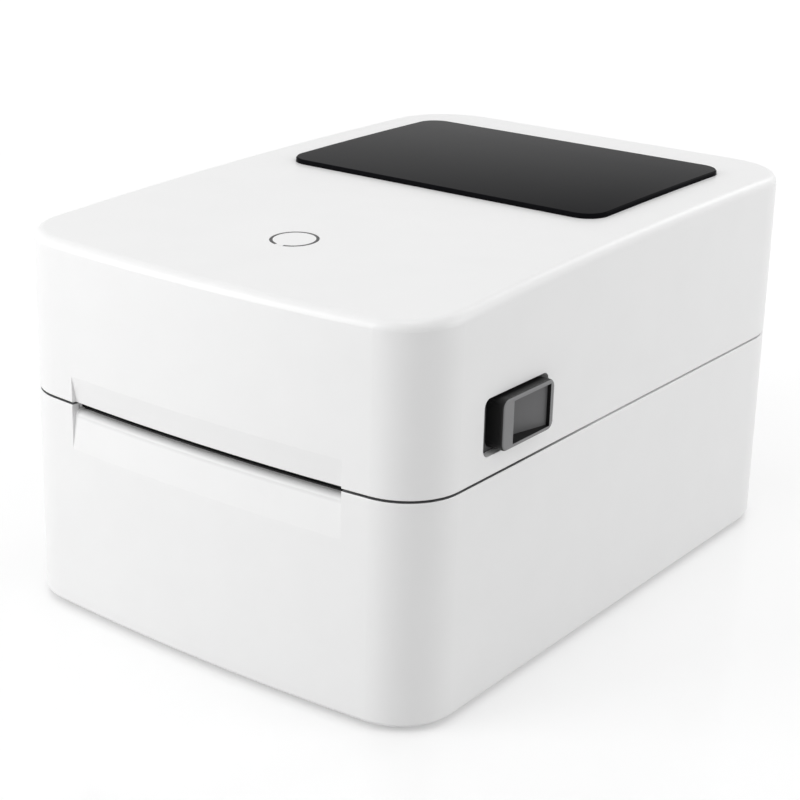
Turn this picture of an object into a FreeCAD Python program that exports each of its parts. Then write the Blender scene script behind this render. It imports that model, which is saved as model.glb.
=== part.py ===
import FreeCAD, Part
import math
import os

from FreeCAD import Vector

# Thermal label printer, closed, standing on its feet.
# Frame: origin on the table under the middle of the case, +X to its right, +Y to its back, +Z up.
# All sizes are in millimetres.

AXIS_X = Vector(1, 0, 0)
AXIS_Y = Vector(0, 1, 0)
AXIS_Z = Vector(0, 0, 1)
tiny = 0.001               # two places closer than this are the same

# Case
case_width = 180.0
case_depth = 260.0
front_bow = 4.6            # how far the front face swells out between the two sides
front_corner = 21.0
back_corner = 29.0
base_height = 78.6         # lower case, underside to rim
seam_gap = 0.8
cover_height = 64.5        # cover, lower edge to the highest line of its top
top_radius = 3360.0        # the top is part of a very large cylinder lying across the case
top_crest_from_back = 46.0
top_edge_round = 3.4
bottom_edge_round = 1.6
rim_edge_round = 0.5
wall = 3.0
floor_thickness = 3.0
lip_height = 2.4           # inner lip of the lower case that hides the seam
lip_thickness = 1.2
lip_clearance = 0.4
lip_back_margin = 30.0     # the lip stops this far from the back

# Feet
foot_height = 1.5          # rubber below the case
foot_seat = 1.0            # rubber let into the case
foot_radius = 8.0
foot_inset_x = 24.0
foot_inset_front = 28.0
foot_inset_back = 22.0

# Label exit
exit_side = 29.8           # end of the exit from the side of the case
scoop_depth = 1.8
scoop_below = 16.9         # scoop height below the middle of the seam
scoop_above = 10.2
exit_gap = 2.2             # rim cut down at the exit
exit_lip_round = 2.2
exit_rib_margin = 3.0
exit_rib_height = 20.0
exit_rib_above = 11.0
exit_rib_face = 7.5        # flat inner face of the ribs, from the front of the case

# Cover hinge
hinge_inset = 4.5          # axis in from the back of the case
hinge_drop = 0.3           # axis below the cover's lower edge
knuckle_radius = 4.0
hinge_pin_radius = 1.5
hinge_side = 44.0          # middle of a hinge from the side of the case
cover_knuckle_length = 14.0
base_knuckle_length = 7.5
knuckle_gap = 0.4
hinge_web_height = 8.0
hinge_relief = 1.2         # space left around the swing of the cover's back edge
base_web_height = 16.0

# Fits
running_clearance = 0.05
slide_clearance = 0.3
face_clearance = 0.3

# Top panel
panel_side = 19.1          # panel's edge from the side of the case
panel_length = 98.7
panel_front = 131.3        # from the front of the case
panel_corner = 8.9
panel_proud = 1.8
panel_seat = 0.8
panel_bevel = 0.5
panel_clearance = 0.1

# Feed button
button_from_front = 50.8
button_radius = 8.5
button_clearance = 0.15
ring_width = 1.0
ring_depth = 1.2
ring_gap_angle = 23.0
button_collar_depth = 5.0
button_collar_wall = 2.0
button_flange = 1.6        # flange wider than the button's head, below the collar
button_flange_thickness = 2.0
button_stem_radius = 2.5
button_stem_length = 5.0
button_travel = 0.8
board_thickness = 1.6
button_board_width = 34.0
button_board_length = 14.0
button_post_radius = 2.5
button_post_offset = 13.5
switch_side = 6.0
switch_height = 3.5

# Side latches
latch_opening_front = 36.6  # from the front of the case
latch_opening_length = 37.5
latch_opening_height = 20.0
latch_opening_above_seam = 7.5
latch_opening_round = 3.0
latch_travel = 5.0
latch_lead = 5.8           # open space ahead of the tab, which it slides into
latch_back_gap = 1.3
latch_edge_gap = 1.1       # above and below the tab
latch_proud = 3.5
latch_corner = 3.0
latch_edge_round = 0.9
latch_front_band = 6.0
latch_back_band = 2.4
latch_rim = 1.5
latch_pocket_deep = 6.6
latch_pocket_shallow = 1.4
latch_plate_thickness = 3.2
latch_plate_margin = 1.6
hook_thickness = 3.0
hook_inset = 2.0           # hook in from the inner face of the side wall
hook_width = 8.0
nose_reach = 5.0
nose_height = 4.0
nose_to_catch = 0.3
catch_thickness = 2.0
catch_length = 11.0
catch_seat = 10.0          # part of the catch that lies under the deck
latch_spring_radius = 1.2
latch_spring_wire = 0.4
latch_spring_length = 11.0
latch_spring_turns = 7
spring_stop_thickness = 2.5

# Chassis
deck_drop = 1.7            # deck's top below the rim
deck_thickness = 2.5
deck_clearance = 0.5
deck_back_gap = 9.0        # from the back wall's inner face
bay_back_margin = 4.5      # outside of the bay from the deck's back edge
bay_radius = 55.0
bay_wall = 2.5
bay_side = 21.0            # roll bay from the inner face of the side wall
boss_radius = 4.5
boss_side = 11.0           # bosses from the inner face of the side wall
front_boss_from_front = 92.0
back_boss_from_back = 40.0
case_boss_radius = 6.0
case_boss_height = 5.0
front_post_x = 45.0
front_post_width = 10.0
front_post_depth = 2.6

# Screws
screw_radius = 1.5
screw_head_radius = 2.9
screw_head_height = 2.2
screw_grip = 11.0
screw_hole_clearance = 0.2
head_hole_clearance = 0.6

# Platen
platen_from_front = 20.0
platen_radius = 8.5
platen_side = 32.0         # end of the rubber from the side of the case
platen_above_deck = 1.5
shaft_radius = 3.0
shaft_overhang_right = 1.5
cheek_thickness = 4.0
cheek_gap = 5.0            # end of the rubber to the cheek
cheek_width = 20.0
cheek_depth = 17.0
bush_radius = 6.0
bush_flange_radius = 7.2
bush_flange = 1.5
platen_window_gap = 1.2

# Gear train
gear_module = 0.6
gear_backlash = 0.12
pressure_angle = 20.0
tooth_tip = 0.95           # tooth height above the pitch line, in modules
tooth_root = 1.25          # tooth depth below the pitch line, in modules
platen_teeth = 36
idler_small_teeth = 20
idler_large_teeth = 60
pinion_teeth = 18
inner_gear_width = 4.0
outer_gear_width = 3.5
gear_side_gap = 1.0
plate_thickness = 1.5
plate_margin = 14.0
idler_angle = -60.0        # direction from platen to idler, from +Y towards +Z
motor_angle = -45.0        # direction from idler to motor
idler_pin_radius = 2.0
idler_head_radius = 3.5
idler_head = 1.0
motor_radius = 17.5
motor_length = 34.0
motor_boss_radius = 9.0
motor_shaft_radius = 2.5
motor_shaft_inside = 27.0
motor_screw_radius = 1.25
motor_screw_offset = 13.5
motor_screw_grip = 5.0

# Roll guides
guide_plate = 3.0
guide_half_width = 16.0
guide_hub_plate_radius = 17.0
guide_hub_radius = 11.8
guide_hub_reach = 7.0
guide_edge_gap = 0.8
guide_side_gap = 2.0
guide_travel = 40.0
guide_neck_width = 10.0
guide_slot_clearance = 0.5
rack_module = 1.0
rack_teeth = 16
rack_backlash = 0.2
rack_height = 5.0
rack_body = 4.75
rack_below_bay = 3.5       # top of the racks below the underside of the bay
pinion_bore_radius = 2.0
tray_above_floor = 3.5     # underside of the tray above the case floor
tray_thickness = 2.2
tray_gap = 0.2
tray_rail = 2.7
tray_margin = 2.0
tray_post_radius = 3.0

# Print head
head_length = 24.0
head_height = 6.5
head_front_offset = 8.0    # print line to the head's front edge
heater_margin = 2.0        # heater strip shorter than the head at each end
heater_length = 16.0
heater_height = 2.2
head_gap = 0.4             # heater to platen, room for the label
bracket_thickness = 1.5
bracket_overhang = 2.0     # bracket wider than the head at each end
pivot_behind_line = 34.0
pivot_above_bracket = 9.5
pivot_radius = 2.0
ear_radius = 6.0
carrier_side_gap = 2.0
carrier_cheek = 4.0
carrier_plate = 3.0
carrier_front_margin = 10.0
carrier_back_margin = 5.0
bracket_back_margin = 8.0
head_spring_length = 21.5
head_spring_radius = 4.0
head_spring_wire = 0.9
head_spring_turns = 7
head_spring_x = 34.0
head_spring_ahead_of_pivot = 28.0
carrier_boss_radius = 4.0
carrier_screw_inset = 10.0  # from the end of the bracket
carrier_screw_margin = 7.0

# Tear bar
tear_bar_thickness = 1.0
tear_bar_inset = 2.2       # from the end of the exit
tear_bar_height = 9.0
tear_tooth_pitch = 2.0
tear_tooth_depth = 1.0
tear_bar_drop = 0.3        # root of the teeth above the cover's lower edge

# Label sensor
sensor_width = 12.0
sensor_length = 10.0
sensor_depth = 6.0
sensor_x = 26.0
sensor_behind_platen = 26.0
sensor_rise = 0.2

# Rear connector recess
recess_side = 30.0         # end of the recess from the side of the case
recess_bottom = 6.0        # above the underside of the case
recess_height = 26.5
recess_depth = 6.0
recess_wall = 3.0
recess_round = 2.0

# Main board
board_inset = 4.0          # end of the board from the end of the recess
board_length = 42.5
board_rise = 3.5           # above the case floor
standoff_radius = 3.0
standoff_inset = 5.0
board_screw_radius = 1.25
board_screw_head = 2.4
board_screw_head_height = 1.6
board_screw_grip = 4.5
chip_side = 14.0
chip_height = 1.4
capacitor_radius = 4.0
capacitor_height = 11.0
connector_height = 4.4
connector_depth = 6.0

# Sockets and power switch
usb_x = 0.0
usb_width = 12.0
usb_height = 11.0
usb_depth = 16.5
usb_wall = 1.3
usb_hollow_depth = 9.0
usb_tongue_width = 5.6
usb_tongue_height = 3.2
socket_reach = 1.5         # socket face beyond the recess floor
socket_clearance = 0.3
dc_from_board_end = 14.0
dc_width = 9.0
dc_height = 11.0
dc_depth = 14.0
dc_bore_radius = 3.2
dc_pin_radius = 1.0
dc_bore_depth = 9.5
switch_from_board_end = 16.0
switch_above_recess = 13.2
switch_body_width = 19.0
switch_body_height = 12.8
switch_body_depth = 16.0
switch_bezel = 1.2
switch_bezel_border = 1.0
switch_shell = 1.5
rocker_clearance = 0.4
rocker_thickness = 3.0
rocker_pivot_radius = 1.2
rocker_tilt = 7.0
rocker_well = 7.0

# Ribbon cable
ribbon_width = 18.0
ribbon_x = 18.0            # middle of the ribbon
ribbon_thickness = 0.5
ribbon_off_cover = 0.3
ribbon_back_gap = 3.8      # from the cover's back wall
ribbon_drop_gap = 1.2      # ribbon's end above the head connector
ribbon_board_gap = 1.0     # from the back edge of the deck

# Levels
z_under = foot_height
z_floor = z_under + floor_thickness
z_rim = z_under + base_height
z_cover = z_rim + seam_gap
z_top = z_cover + cover_height
z_seam = (z_rim + z_cover) / 2
z_deck = z_rim - deck_drop
z_deck_under = z_deck - deck_thickness

# Plan places
half_width = case_width / 2
y_front = -case_depth / 2
y_back = case_depth / 2
inner_side = half_width - wall
exit_width = case_width - 2 * exit_side
panel_width = case_width - 2 * panel_side
platen_length = case_width - 2 * platen_side
bracket_width = platen_length + 2 * bracket_overhang
heater_width = platen_length - 2 * heater_margin
tear_bar_width = exit_width - 2 * tear_bar_inset
carrier_screw_x = bracket_width / 2 - carrier_screw_inset
recess_half_width = half_width - recess_side
board_half_width = recess_half_width - board_inset
dc_x = board_half_width - dc_from_board_end
switch_x = switch_from_board_end - board_half_width
hinge_centre_x = half_width - hinge_side
bay_half_width = inner_side - bay_side
boss_x = inner_side - boss_side
bow_radius = (half_width ** 2 + front_bow ** 2) / (2 * front_bow)
bow_centre = y_front + bow_radius
crest_y = y_back - top_crest_from_back
y_rib = y_front + exit_rib_face

# Hinge line
hinge_y = y_back - hinge_inset
hinge_z = z_cover - hinge_drop


def box(x0, x1, y0, y1, z0, z1):
    return Part.makeBox(x1 - x0, y1 - y0, z1 - z0, Vector(x0, y0, z0))


def rod_x(radius, x0, x1, y, z):
    return Part.makeCylinder(radius, x1 - x0, Vector(x0, y, z), AXIS_X)


def rod_y(radius, y0, y1, x, z):
    return Part.makeCylinder(radius, y1 - y0, Vector(x, y0, z), AXIS_Y)


def rod_z(radius, z0, z1, x, y):
    return Part.makeCylinder(radius, z1 - z0, Vector(x, y, z0), AXIS_Z)


def rounded(shape, radius, axis):
    """Round the straight edges of a shape that run along an axis."""
    edges = []
    for edge in shape.Edges:
        run = edge.Vertexes[-1].Point - edge.Vertexes[0].Point
        if run.Length > 0 and run.cross(axis).Length < 1e-6 * run.Length:
            edges.append(edge)
    return shape.makeFillet(radius, edges)


def mirrored(shape):
    """The same piece on the other side of the case."""
    return shape.mirror(Vector(0, 0, 0), AXIS_X)


def both_sides(shape):
    return [shape, mirrored(shape)]


def polygon(points):
    return Part.Face(Part.makePolygon(points + points[:1]))


def save(name, *shapes):
    """Write one piece, or a group of separate solids that share a name."""
    solids = []
    for shape in shapes:
        solids.extend(shape.Solids)
    piece = solids[0] if len(solids) == 1 else Part.makeCompound(solids)
    if not piece.isValid():
        print("not valid:", name)
    piece.exportStep("parts/" + name + ".step")
    pieces.append(name)


def on_circle(x, y, radius, angle, z):
    return Vector(x + radius * math.cos(angle), y + radius * math.sin(angle), z)


def case_prism(inset, z0, z1):
    """Upright block with the case's plan outline, moved in by inset."""
    front_round = front_corner - inset
    back_round = back_corner - inset
    front_x = half_width - front_corner
    front_y = bow_centre - math.sqrt((bow_radius - front_corner) ** 2 - front_x ** 2)
    back_x = half_width - back_corner
    back_y = y_back - back_corner
    bow_end = math.atan2(front_y - bow_centre, front_x)
    right = [
        on_circle(front_x, front_y, front_round, bow_end, z0),
        on_circle(front_x, front_y, front_round, bow_end / 2, z0),
        on_circle(front_x, front_y, front_round, 0, z0),
        on_circle(back_x, back_y, back_round, 0, z0),
        on_circle(back_x, back_y, back_round, math.pi / 4, z0),
        on_circle(back_x, back_y, back_round, math.pi / 2, z0),
    ]
    left = [Vector(-point.x, point.y, z0) for point in right]
    edges = [Part.Arc(left[0], Vector(0, y_front + inset, z0), right[0]).toShape()]
    for side in (right, left):
        edges.append(Part.Arc(side[0], side[1], side[2]).toShape())
        edges.append(Part.makeLine(side[2], side[3]))
        edges.append(Part.Arc(side[3], side[4], side[5]).toShape())
    edges.append(Part.makeLine(right[5], left[5]))
    outline = Part.Wire(Part.__sortEdges__(edges))
    return Part.Face(outline).extrude(AXIS_Z * (z1 - z0))


def under_top(offset):
    """All space below the arched top, raised by offset."""
    radius = top_radius + offset
    return Part.makeCylinder(
        radius, 2 * case_width, Vector(-case_width, crest_y, z_top - top_radius), AXIS_X
    )


def top_height(y, offset=0):
    radius = top_radius + offset
    return z_top - top_radius + math.sqrt(radius ** 2 - (y - crest_y) ** 2)


def front_sweep(outline, width):
    """Sweep a (y, z) outline along the bowed front, over a given width."""
    face = Part.Face(Part.Wire(outline))
    half_angle = math.degrees(math.asin(width / 2 / bow_radius))
    pivot = Vector(0, bow_centre, 0)
    face.rotate(pivot, AXIS_Z, -half_angle)
    return face.revolve(pivot, AXIS_Z, 2 * half_angle)


def outline_yz(points):
    corners = [Vector(0, y, z) for y, z in points]
    return [Part.makeLine(a, b) for a, b in zip(corners, corners[1:] + corners[:1])]


def involute(angle):
    return math.tan(angle) - angle


def gear(teeth, module, backlash, centre, across, up, depth, turn):
    """Spur gear with involute flanks, extruded along depth; turn is the angle of one tooth."""
    pressure = math.radians(pressure_angle)
    pitch = module * teeth / 2
    base = pitch * math.cos(pressure)
    tip = pitch + tooth_tip * module
    root = pitch - tooth_root * module
    half_tooth = math.pi / (2 * teeth) - backlash / (2 * pitch)
    start = max(base, root)
    flank = []
    for radius in (start, (start + pitch) / 2, pitch, (pitch + tip) / 2, tip):
        angle = math.acos(min(1, base / radius))
        flank.append((radius, half_tooth + involute(pressure) - involute(angle)))
    if base > root:
        flank.insert(0, (root, flank[0][1]))
    points = []
    for tooth in range(teeth):
        middle = turn + 2 * math.pi * tooth / teeth
        sides = [(radius, middle - half) for radius, half in flank]
        sides += [(radius, middle + half) for radius, half in reversed(flank)]
        for radius, angle in sides:
            points.append(centre + across * (radius * math.cos(angle)) + up * (radius * math.sin(angle)))
    return polygon(points).extrude(depth)


def biarc(p0, t0, p1, t1):
    """Two arcs that join p0 to p1, along the unit directions t0 and t1."""
    span = p1 - p0
    a = 2 * (t0.dot(t1) - 1)
    b = -2 * span.dot(t0 + t1)
    c = span.dot(span)
    reach = (-b - math.sqrt(b * b - 4 * a * c)) / (2 * a)
    q0 = p0 + t0 * reach
    q1 = p1 - t1 * reach
    joint = (q0 + q1) * 0.5
    edges = []
    for start, corner, end in ((p0, q0, joint), (joint, q1, p1)):
        chord_middle = (start + end) * 0.5
        rise = (chord_middle - corner).Length
        half_chord = (end - start).Length / 2
        middle = corner + (chord_middle - corner) * (reach * (reach - half_chord) / rise ** 2)
        edges.append(Part.Arc(start, middle, end).toShape())
    return edges


def coil_spring(name, start, axis, side, radius, wire, length, turns):
    """Round-wire compression spring; its least gap between turns is measured and printed."""
    other = axis.cross(side)
    rise = (length - wire) / turns
    slope = rise / (2 * math.pi * radius)
    scale = 1 / math.sqrt(1 + slope ** 2)

    def point(turn):
        angle = 2 * math.pi * turn
        flat = side * (radius * math.cos(angle)) + other * (radius * math.sin(angle))
        return start + flat + axis * (wire / 2 + rise * turn)

    def direction(turn):
        angle = 2 * math.pi * turn
        flat = side * -math.sin(angle) + other * math.cos(angle)
        return (flat + axis * slope) * scale

    edges = []
    for quarter in range(4 * turns):
        t0 = quarter / 4
        t1 = (quarter + 1) / 4
        edges += biarc(point(t0), direction(t0), point(t1), direction(t1))
    path = Part.Wire(edges)
    section = Part.Wire([Part.makeCircle(wire / 2, point(0), direction(0))])
    coil = path.makePipeShell([section], True, False)
    samples = [point(step / 24) for step in range(24 * turns + 1)]
    gaps = [
        (samples[i] - samples[j]).Length - wire
        for i in range(len(samples))
        for j in range(i + 12, len(samples))
    ]
    print(name, "least gap between turns", round(min(gaps), 2))
    return coil


def screw(x, y, z, length, radius, head_radius, head_height, down):
    """Screw with its head's seat at z; the shank runs up, or down if down is true."""
    way = -1 if down else 1
    shank = Part.makeCylinder(radius, length, Vector(x, y, z), AXIS_Z * way)
    head = Part.makeCylinder(head_radius, head_height, Vector(x, y, z), AXIS_Z * -way)
    return shank.fuse(head).removeSplitter()


os.makedirs("parts", exist_ok=True)
pieces = []

# Scooped label exit, shared by the two halves of the case
scoop_outline = outline_yz([
    (y_front - wall, z_seam - scoop_below),
    (y_front, z_seam - scoop_below),
    (y_front + scoop_depth, z_seam),
    (y_front, z_seam + scoop_above),
    (y_front - wall, z_seam + scoop_above),
])
scoop = front_sweep(scoop_outline, exit_width)
z_exit = z_rim - exit_gap
exit_edge = y_front + scoop_depth * (1 - (z_seam - z_exit + exit_lip_round) / scoop_below)
lip_turn = exit_lip_round * math.sqrt(0.5)
lip_top = Vector(0, exit_edge + exit_lip_round, z_exit)
lip_low = Vector(0, exit_edge, z_exit - exit_lip_round)
lip_mid = Vector(0, exit_edge + exit_lip_round - lip_turn, z_exit - exit_lip_round + lip_turn)
exit_inner = Vector(0, y_rib + wall, z_exit)
exit_inner_top = Vector(0, y_rib + wall, z_rim + lip_height + wall)
exit_outer_top = Vector(0, y_front - wall, z_rim + lip_height + wall)
exit_outer = Vector(0, y_front - wall, z_exit - exit_lip_round)
exit_outline = [
    Part.Arc(lip_low, lip_mid, lip_top).toShape(),
    Part.makeLine(lip_top, exit_inner),
    Part.makeLine(exit_inner, exit_inner_top),
    Part.makeLine(exit_inner_top, exit_outer_top),
    Part.makeLine(exit_outer_top, exit_outer),
    Part.makeLine(exit_outer, lip_low),
]
exit_cut = front_sweep(exit_outline, exit_width)
exit_rib_half = exit_width / 2 + exit_rib_margin

# Places shared by several pieces
z_tray0 = z_floor + tray_above_floor
z_tray1 = z_tray0 + tray_thickness
z_rack0 = z_tray1 + tray_gap
z_rack1 = z_rack0 + rack_height
deck_end = y_back - wall - deck_back_gap
bay_y = deck_end - bay_back_margin - bay_wall - bay_radius
bay_z = z_rack1 + rack_below_bay + bay_wall + bay_radius
screw_places = [
    (boss_x, y_front + front_boss_from_front),
    (-boss_x, y_front + front_boss_from_front),
    (boss_x, y_back - back_boss_from_back),
    (-boss_x, y_back - back_boss_from_back),
]
foot_places = {
    "foot_front_left": (-half_width + foot_inset_x, y_front + foot_inset_front),
    "foot_front_right": (half_width - foot_inset_x, y_front + foot_inset_front),
    "foot_back_left": (-half_width + foot_inset_x, y_back - foot_inset_back),
    "foot_back_right": (half_width - foot_inset_x, y_back - foot_inset_back),
}
recess_floor_y = y_back - recess_depth
recess_inner_y = recess_floor_y - recess_wall
z_recess = z_under + recess_bottom
z_board = z_floor + board_rise
z_board_top = z_board + board_thickness
board_back = recess_inner_y - face_clearance
board_front = board_back - board_length
standoffs = []
for x in (standoff_inset - board_half_width, board_half_width - standoff_inset):
    for y in (board_front + standoff_inset, board_back - standoff_inset - connector_depth):
        standoffs.append((x, y))
switch_z = z_recess + switch_above_recess

# Hinge knuckles of one side: the cover's in the middle, the lower case's on both sides of it
cover_knuckle = (
    hinge_centre_x - cover_knuckle_length / 2,
    hinge_centre_x + cover_knuckle_length / 2,
)
base_knuckles = [
    (cover_knuckle[0] - knuckle_gap - base_knuckle_length, cover_knuckle[0] - knuckle_gap),
    (cover_knuckle[1] + knuckle_gap, cover_knuckle[1] + knuckle_gap + base_knuckle_length),
]

# Lower case
lower_case = case_prism(0, z_under, z_rim)
bottom_edges = [edge for edge in lower_case.Edges if abs(edge.BoundBox.ZMax - z_under) < tiny]
lower_case = lower_case.makeFillet(bottom_edge_round, bottom_edges)
rim_edges = [edge for edge in lower_case.Edges if abs(edge.BoundBox.ZMin - z_rim) < tiny]
lower_case = lower_case.makeFillet(rim_edge_round, rim_edges)
lower_case = lower_case.cut(case_prism(wall, z_floor, z_rim + wall))
lip = case_prism(wall + lip_clearance, z_rim - lip_height, z_rim + lip_height)
lip = lip.cut(case_prism(wall + lip_clearance + lip_thickness, z_under, z_top))
lip_foot = case_prism(wall / 2, z_rim - 2 * lip_height, z_rim - lip_height)
lip_foot = lip_foot.cut(case_prism(wall + lip_clearance + lip_thickness, z_under, z_top))
lip = lip.fuse(lip_foot)
lip = lip.common(box(-case_width, case_width, y_front, y_back - lip_back_margin, z_under, z_top))
lip_opening = exit_rib_half + lip_clearance
lip = lip.cut(box(-lip_opening, lip_opening, y_front, y_rib + wall, z_rim, z_top))
exit_rib = case_prism(wall / 2, z_exit - exit_rib_height, z_exit)
exit_rib = exit_rib.common(box(-exit_rib_half, exit_rib_half, y_front, y_rib, z_under, z_rim))
recess_block = box(
    -recess_half_width - recess_wall, recess_half_width + recess_wall,
    recess_inner_y, y_back - wall / 2,
    z_under + floor_thickness / 2, z_recess + recess_height + recess_wall,
)
posts = []
for x in (-front_post_x, front_post_x):
    posts.append(box(
        x - front_post_width / 2, x + front_post_width / 2,
        y_rib - wall, y_rib + front_post_depth, z_under + floor_thickness / 2, z_deck_under,
    ))
for x, y in screw_places:
    posts.append(rod_z(case_boss_radius, z_under + floor_thickness / 2, z_floor + case_boss_height, x, y))
for x, y in standoffs:
    posts.append(rod_z(standoff_radius, z_under + floor_thickness / 2, z_board, x, y))
webs = []
for x0, x1 in base_knuckles:
    web = box(
        x0, x1, hinge_y - knuckle_radius, y_back - wall / 2,
        hinge_z - base_web_height, hinge_z - knuckle_radius - hinge_relief,
    )
    neck = box(x0, x1, hinge_y - knuckle_radius, hinge_y, hinge_z - base_web_height, hinge_z)
    webs += both_sides(web.fuse(neck).fuse(rod_x(knuckle_radius, x0, x1, hinge_y, hinge_z)))
lower_case = lower_case.fuse([lip, exit_rib, recess_block] + posts)
swing = box(
    -case_width, case_width, hinge_y - hinge_relief, y_back + wall,
    hinge_z - hinge_inset - hinge_relief, z_top,
)
lower_case = lower_case.cut(swing).fuse(webs)
recess = rounded(box(
    -recess_half_width, recess_half_width, recess_floor_y, y_back + wall,
    z_recess, z_recess + recess_height,
), recess_round, AXIS_Y)
cuts = [scoop, exit_cut, recess]
for x, y in foot_places.values():
    cuts.append(rod_z(foot_radius, z_under - foot_height, z_under + foot_seat, x, y))
for x, y in screw_places:
    seat = z_floor + case_boss_height - screw_head_height
    cuts.append(rod_z(screw_radius + screw_hole_clearance, z_under, seat + wall, x, y))
    cuts.append(rod_z(screw_head_radius + head_hole_clearance, z_under - wall, seat, x, y))
for x, y in standoffs:
    cuts.append(rod_z(board_screw_radius, z_floor, z_board, x, y))
rear_openings = [
    (usb_x, z_board_top + usb_height / 2, usb_width, usb_height),
    (dc_x, z_board_top + dc_height / 2, dc_width, dc_height),
    (switch_x, switch_z, switch_body_width, switch_body_height),
]
for x, z, width, height in rear_openings:
    half_x = width / 2 + socket_clearance
    half_z = height / 2 + socket_clearance
    cuts.append(box(x - half_x, x + half_x, recess_inner_y - wall, y_back, z - half_z, z + half_z))
pin_x0 = base_knuckles[0][0]
pin_x1 = base_knuckles[1][1]
hinge_pin = rod_x(hinge_pin_radius, pin_x0, pin_x1, hinge_y, hinge_z)
cuts += both_sides(hinge_pin)
lower_case = lower_case.cut(cuts).removeSplitter()
save("lower_case", lower_case)

# Feet and the screws that hold the chassis to the lower case
for name, (x, y) in foot_places.items():
    save(name, rod_z(foot_radius, 0, z_under + foot_seat, x, y))
seat = z_floor + case_boss_height - screw_head_height
save("base_screws", *[
    screw(x, y, seat, screw_grip, screw_radius, screw_head_radius, screw_head_height, False)
    for x, y in screw_places
])

# Hinge pins
save("hinge_pins", *both_sides(hinge_pin))

# Platen and gear train places
platen_y = y_front + platen_from_front
platen_z = z_deck + platen_above_deck - platen_radius
cheek_in = platen_length / 2 + cheek_gap
cheek_out = cheek_in + cheek_thickness
plate_x = -cheek_out - plate_thickness
inner_gear_x1 = plate_x - gear_side_gap
inner_gear_x0 = inner_gear_x1 - inner_gear_width
outer_gear_x1 = inner_gear_x0 - gear_side_gap
outer_gear_x0 = outer_gear_x1 - outer_gear_width
idler_reach = gear_module * (platen_teeth + idler_small_teeth) / 2
idler_turn = math.radians(idler_angle)
idler_y = platen_y + idler_reach * math.cos(idler_turn)
idler_z = platen_z + idler_reach * math.sin(idler_turn)
motor_reach = gear_module * (idler_large_teeth + pinion_teeth) / 2
motor_turn = math.radians(motor_angle)
motor_y = idler_y + motor_reach * math.cos(motor_turn)
motor_z = idler_z + motor_reach * math.sin(motor_turn)
gear_outer = gear_module * (platen_teeth / 2 + 1)
plate_screw_y = platen_y - (cheek_width / 2 + bush_radius) / 2
plate_screw_places = [
    (plate_screw_y, platen_z),
    (plate_screw_y, platen_z - cheek_depth + screw_head_radius),
]

# Latch places, right side
opening_y0 = y_front + latch_opening_front
opening_y1 = opening_y0 + latch_opening_length
opening_z0 = z_seam + latch_opening_above_seam
opening_z1 = opening_z0 + latch_opening_height
tab_y0 = opening_y0 + latch_lead
tab_y1 = opening_y1 - latch_back_gap
tab_z0 = opening_z0 + latch_edge_gap
tab_z1 = opening_z1 - latch_edge_gap
hook_x1 = inner_side - hook_inset
hook_x0 = hook_x1 - hook_thickness
hook_y1 = tab_y1 - nose_reach
hook_y0 = hook_y1 - hook_width
catch_y0 = hook_y1 + nose_reach + nose_to_catch
catch_z0 = z_deck_under - catch_thickness
hook_z0 = catch_z0 - face_clearance - nose_height

# Chassis: deck, roll bay, cheeks for the platen and bosses
deck = case_prism(wall + lip_clearance + lip_thickness + deck_clearance, z_deck_under, z_deck)
deck = deck.common(box(-case_width, case_width, y_rib + deck_clearance, deck_end, z_under, z_top))
bay_end = bay_half_width + bay_wall
bay_outer = rod_x(bay_radius + bay_wall, -bay_end, bay_end, bay_y, bay_z)
bay_inner = rod_x(bay_radius, -bay_half_width, bay_half_width, bay_y, bay_z)
above_deck = box(-case_width, case_width, y_front, y_back, z_deck, z_top)
bay_space = box(-case_width, case_width, y_front, y_back, z_deck_under, z_top + bay_radius)
chassis = deck.fuse(bay_outer.cut(bay_space))
for x, y in screw_places:
    chassis = chassis.fuse(rod_z(boss_radius, z_floor + case_boss_height, z_deck, x, y))
cheek = box(
    cheek_in, cheek_out, platen_y - cheek_width / 2, platen_y + cheek_width / 2,
    platen_z - cheek_depth, z_deck,
)
chassis = chassis.fuse(both_sides(cheek))
cuts = [bay_inner, above_deck]
window_half = platen_radius + platen_window_gap
cuts.append(box(
    -cheek_in, cheek_in, platen_y - window_half, platen_y + window_half, z_deck_under - wall, z_top,
))
cuts.append(box(
    outer_gear_x0 - gear_side_gap, -cheek_out,
    platen_y - gear_outer - platen_window_gap, platen_y + gear_outer + platen_window_gap,
    z_deck_under - wall, z_top,
))
bush_slot = rod_x(bush_radius, cheek_in, cheek_out, platen_y, platen_z)
bush_slot = bush_slot.fuse(box(
    cheek_in, cheek_out, platen_y - bush_radius, platen_y + bush_radius, platen_z, z_top,
))
cuts += both_sides(bush_slot)
hook_slot = box(
    hook_x0 - slide_clearance - face_clearance, half_width,
    hook_y0 - latch_travel - 2 * face_clearance, catch_y0 + catch_length, z_deck_under - wall, z_top,
)
cuts += both_sides(hook_slot)
sensor_y = platen_y + sensor_behind_platen
cuts.append(box(
    sensor_x - sensor_width / 2, sensor_x + sensor_width / 2,
    sensor_y - sensor_length / 2, sensor_y + sensor_length / 2, z_deck_under - wall, z_top,
))
guide_x1 = bay_half_width - guide_side_gap
guide_x0 = guide_x1 - guide_plate
slot_half = guide_neck_width / 2 + guide_slot_clearance
guide_slot = box(
    guide_x0 - guide_travel - guide_slot_clearance, guide_x1 + guide_slot_clearance,
    bay_y - slot_half, bay_y + slot_half, z_floor, bay_z,
)
cuts += both_sides(guide_slot)
for x, y in screw_places:
    cuts.append(rod_z(screw_radius, z_floor, seat + screw_grip, x, y))
for y, z in plate_screw_places:
    cuts.append(rod_x(board_screw_radius, -cheek_out, -cheek_in, y, z))
chassis = chassis.cut(cuts)

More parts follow.
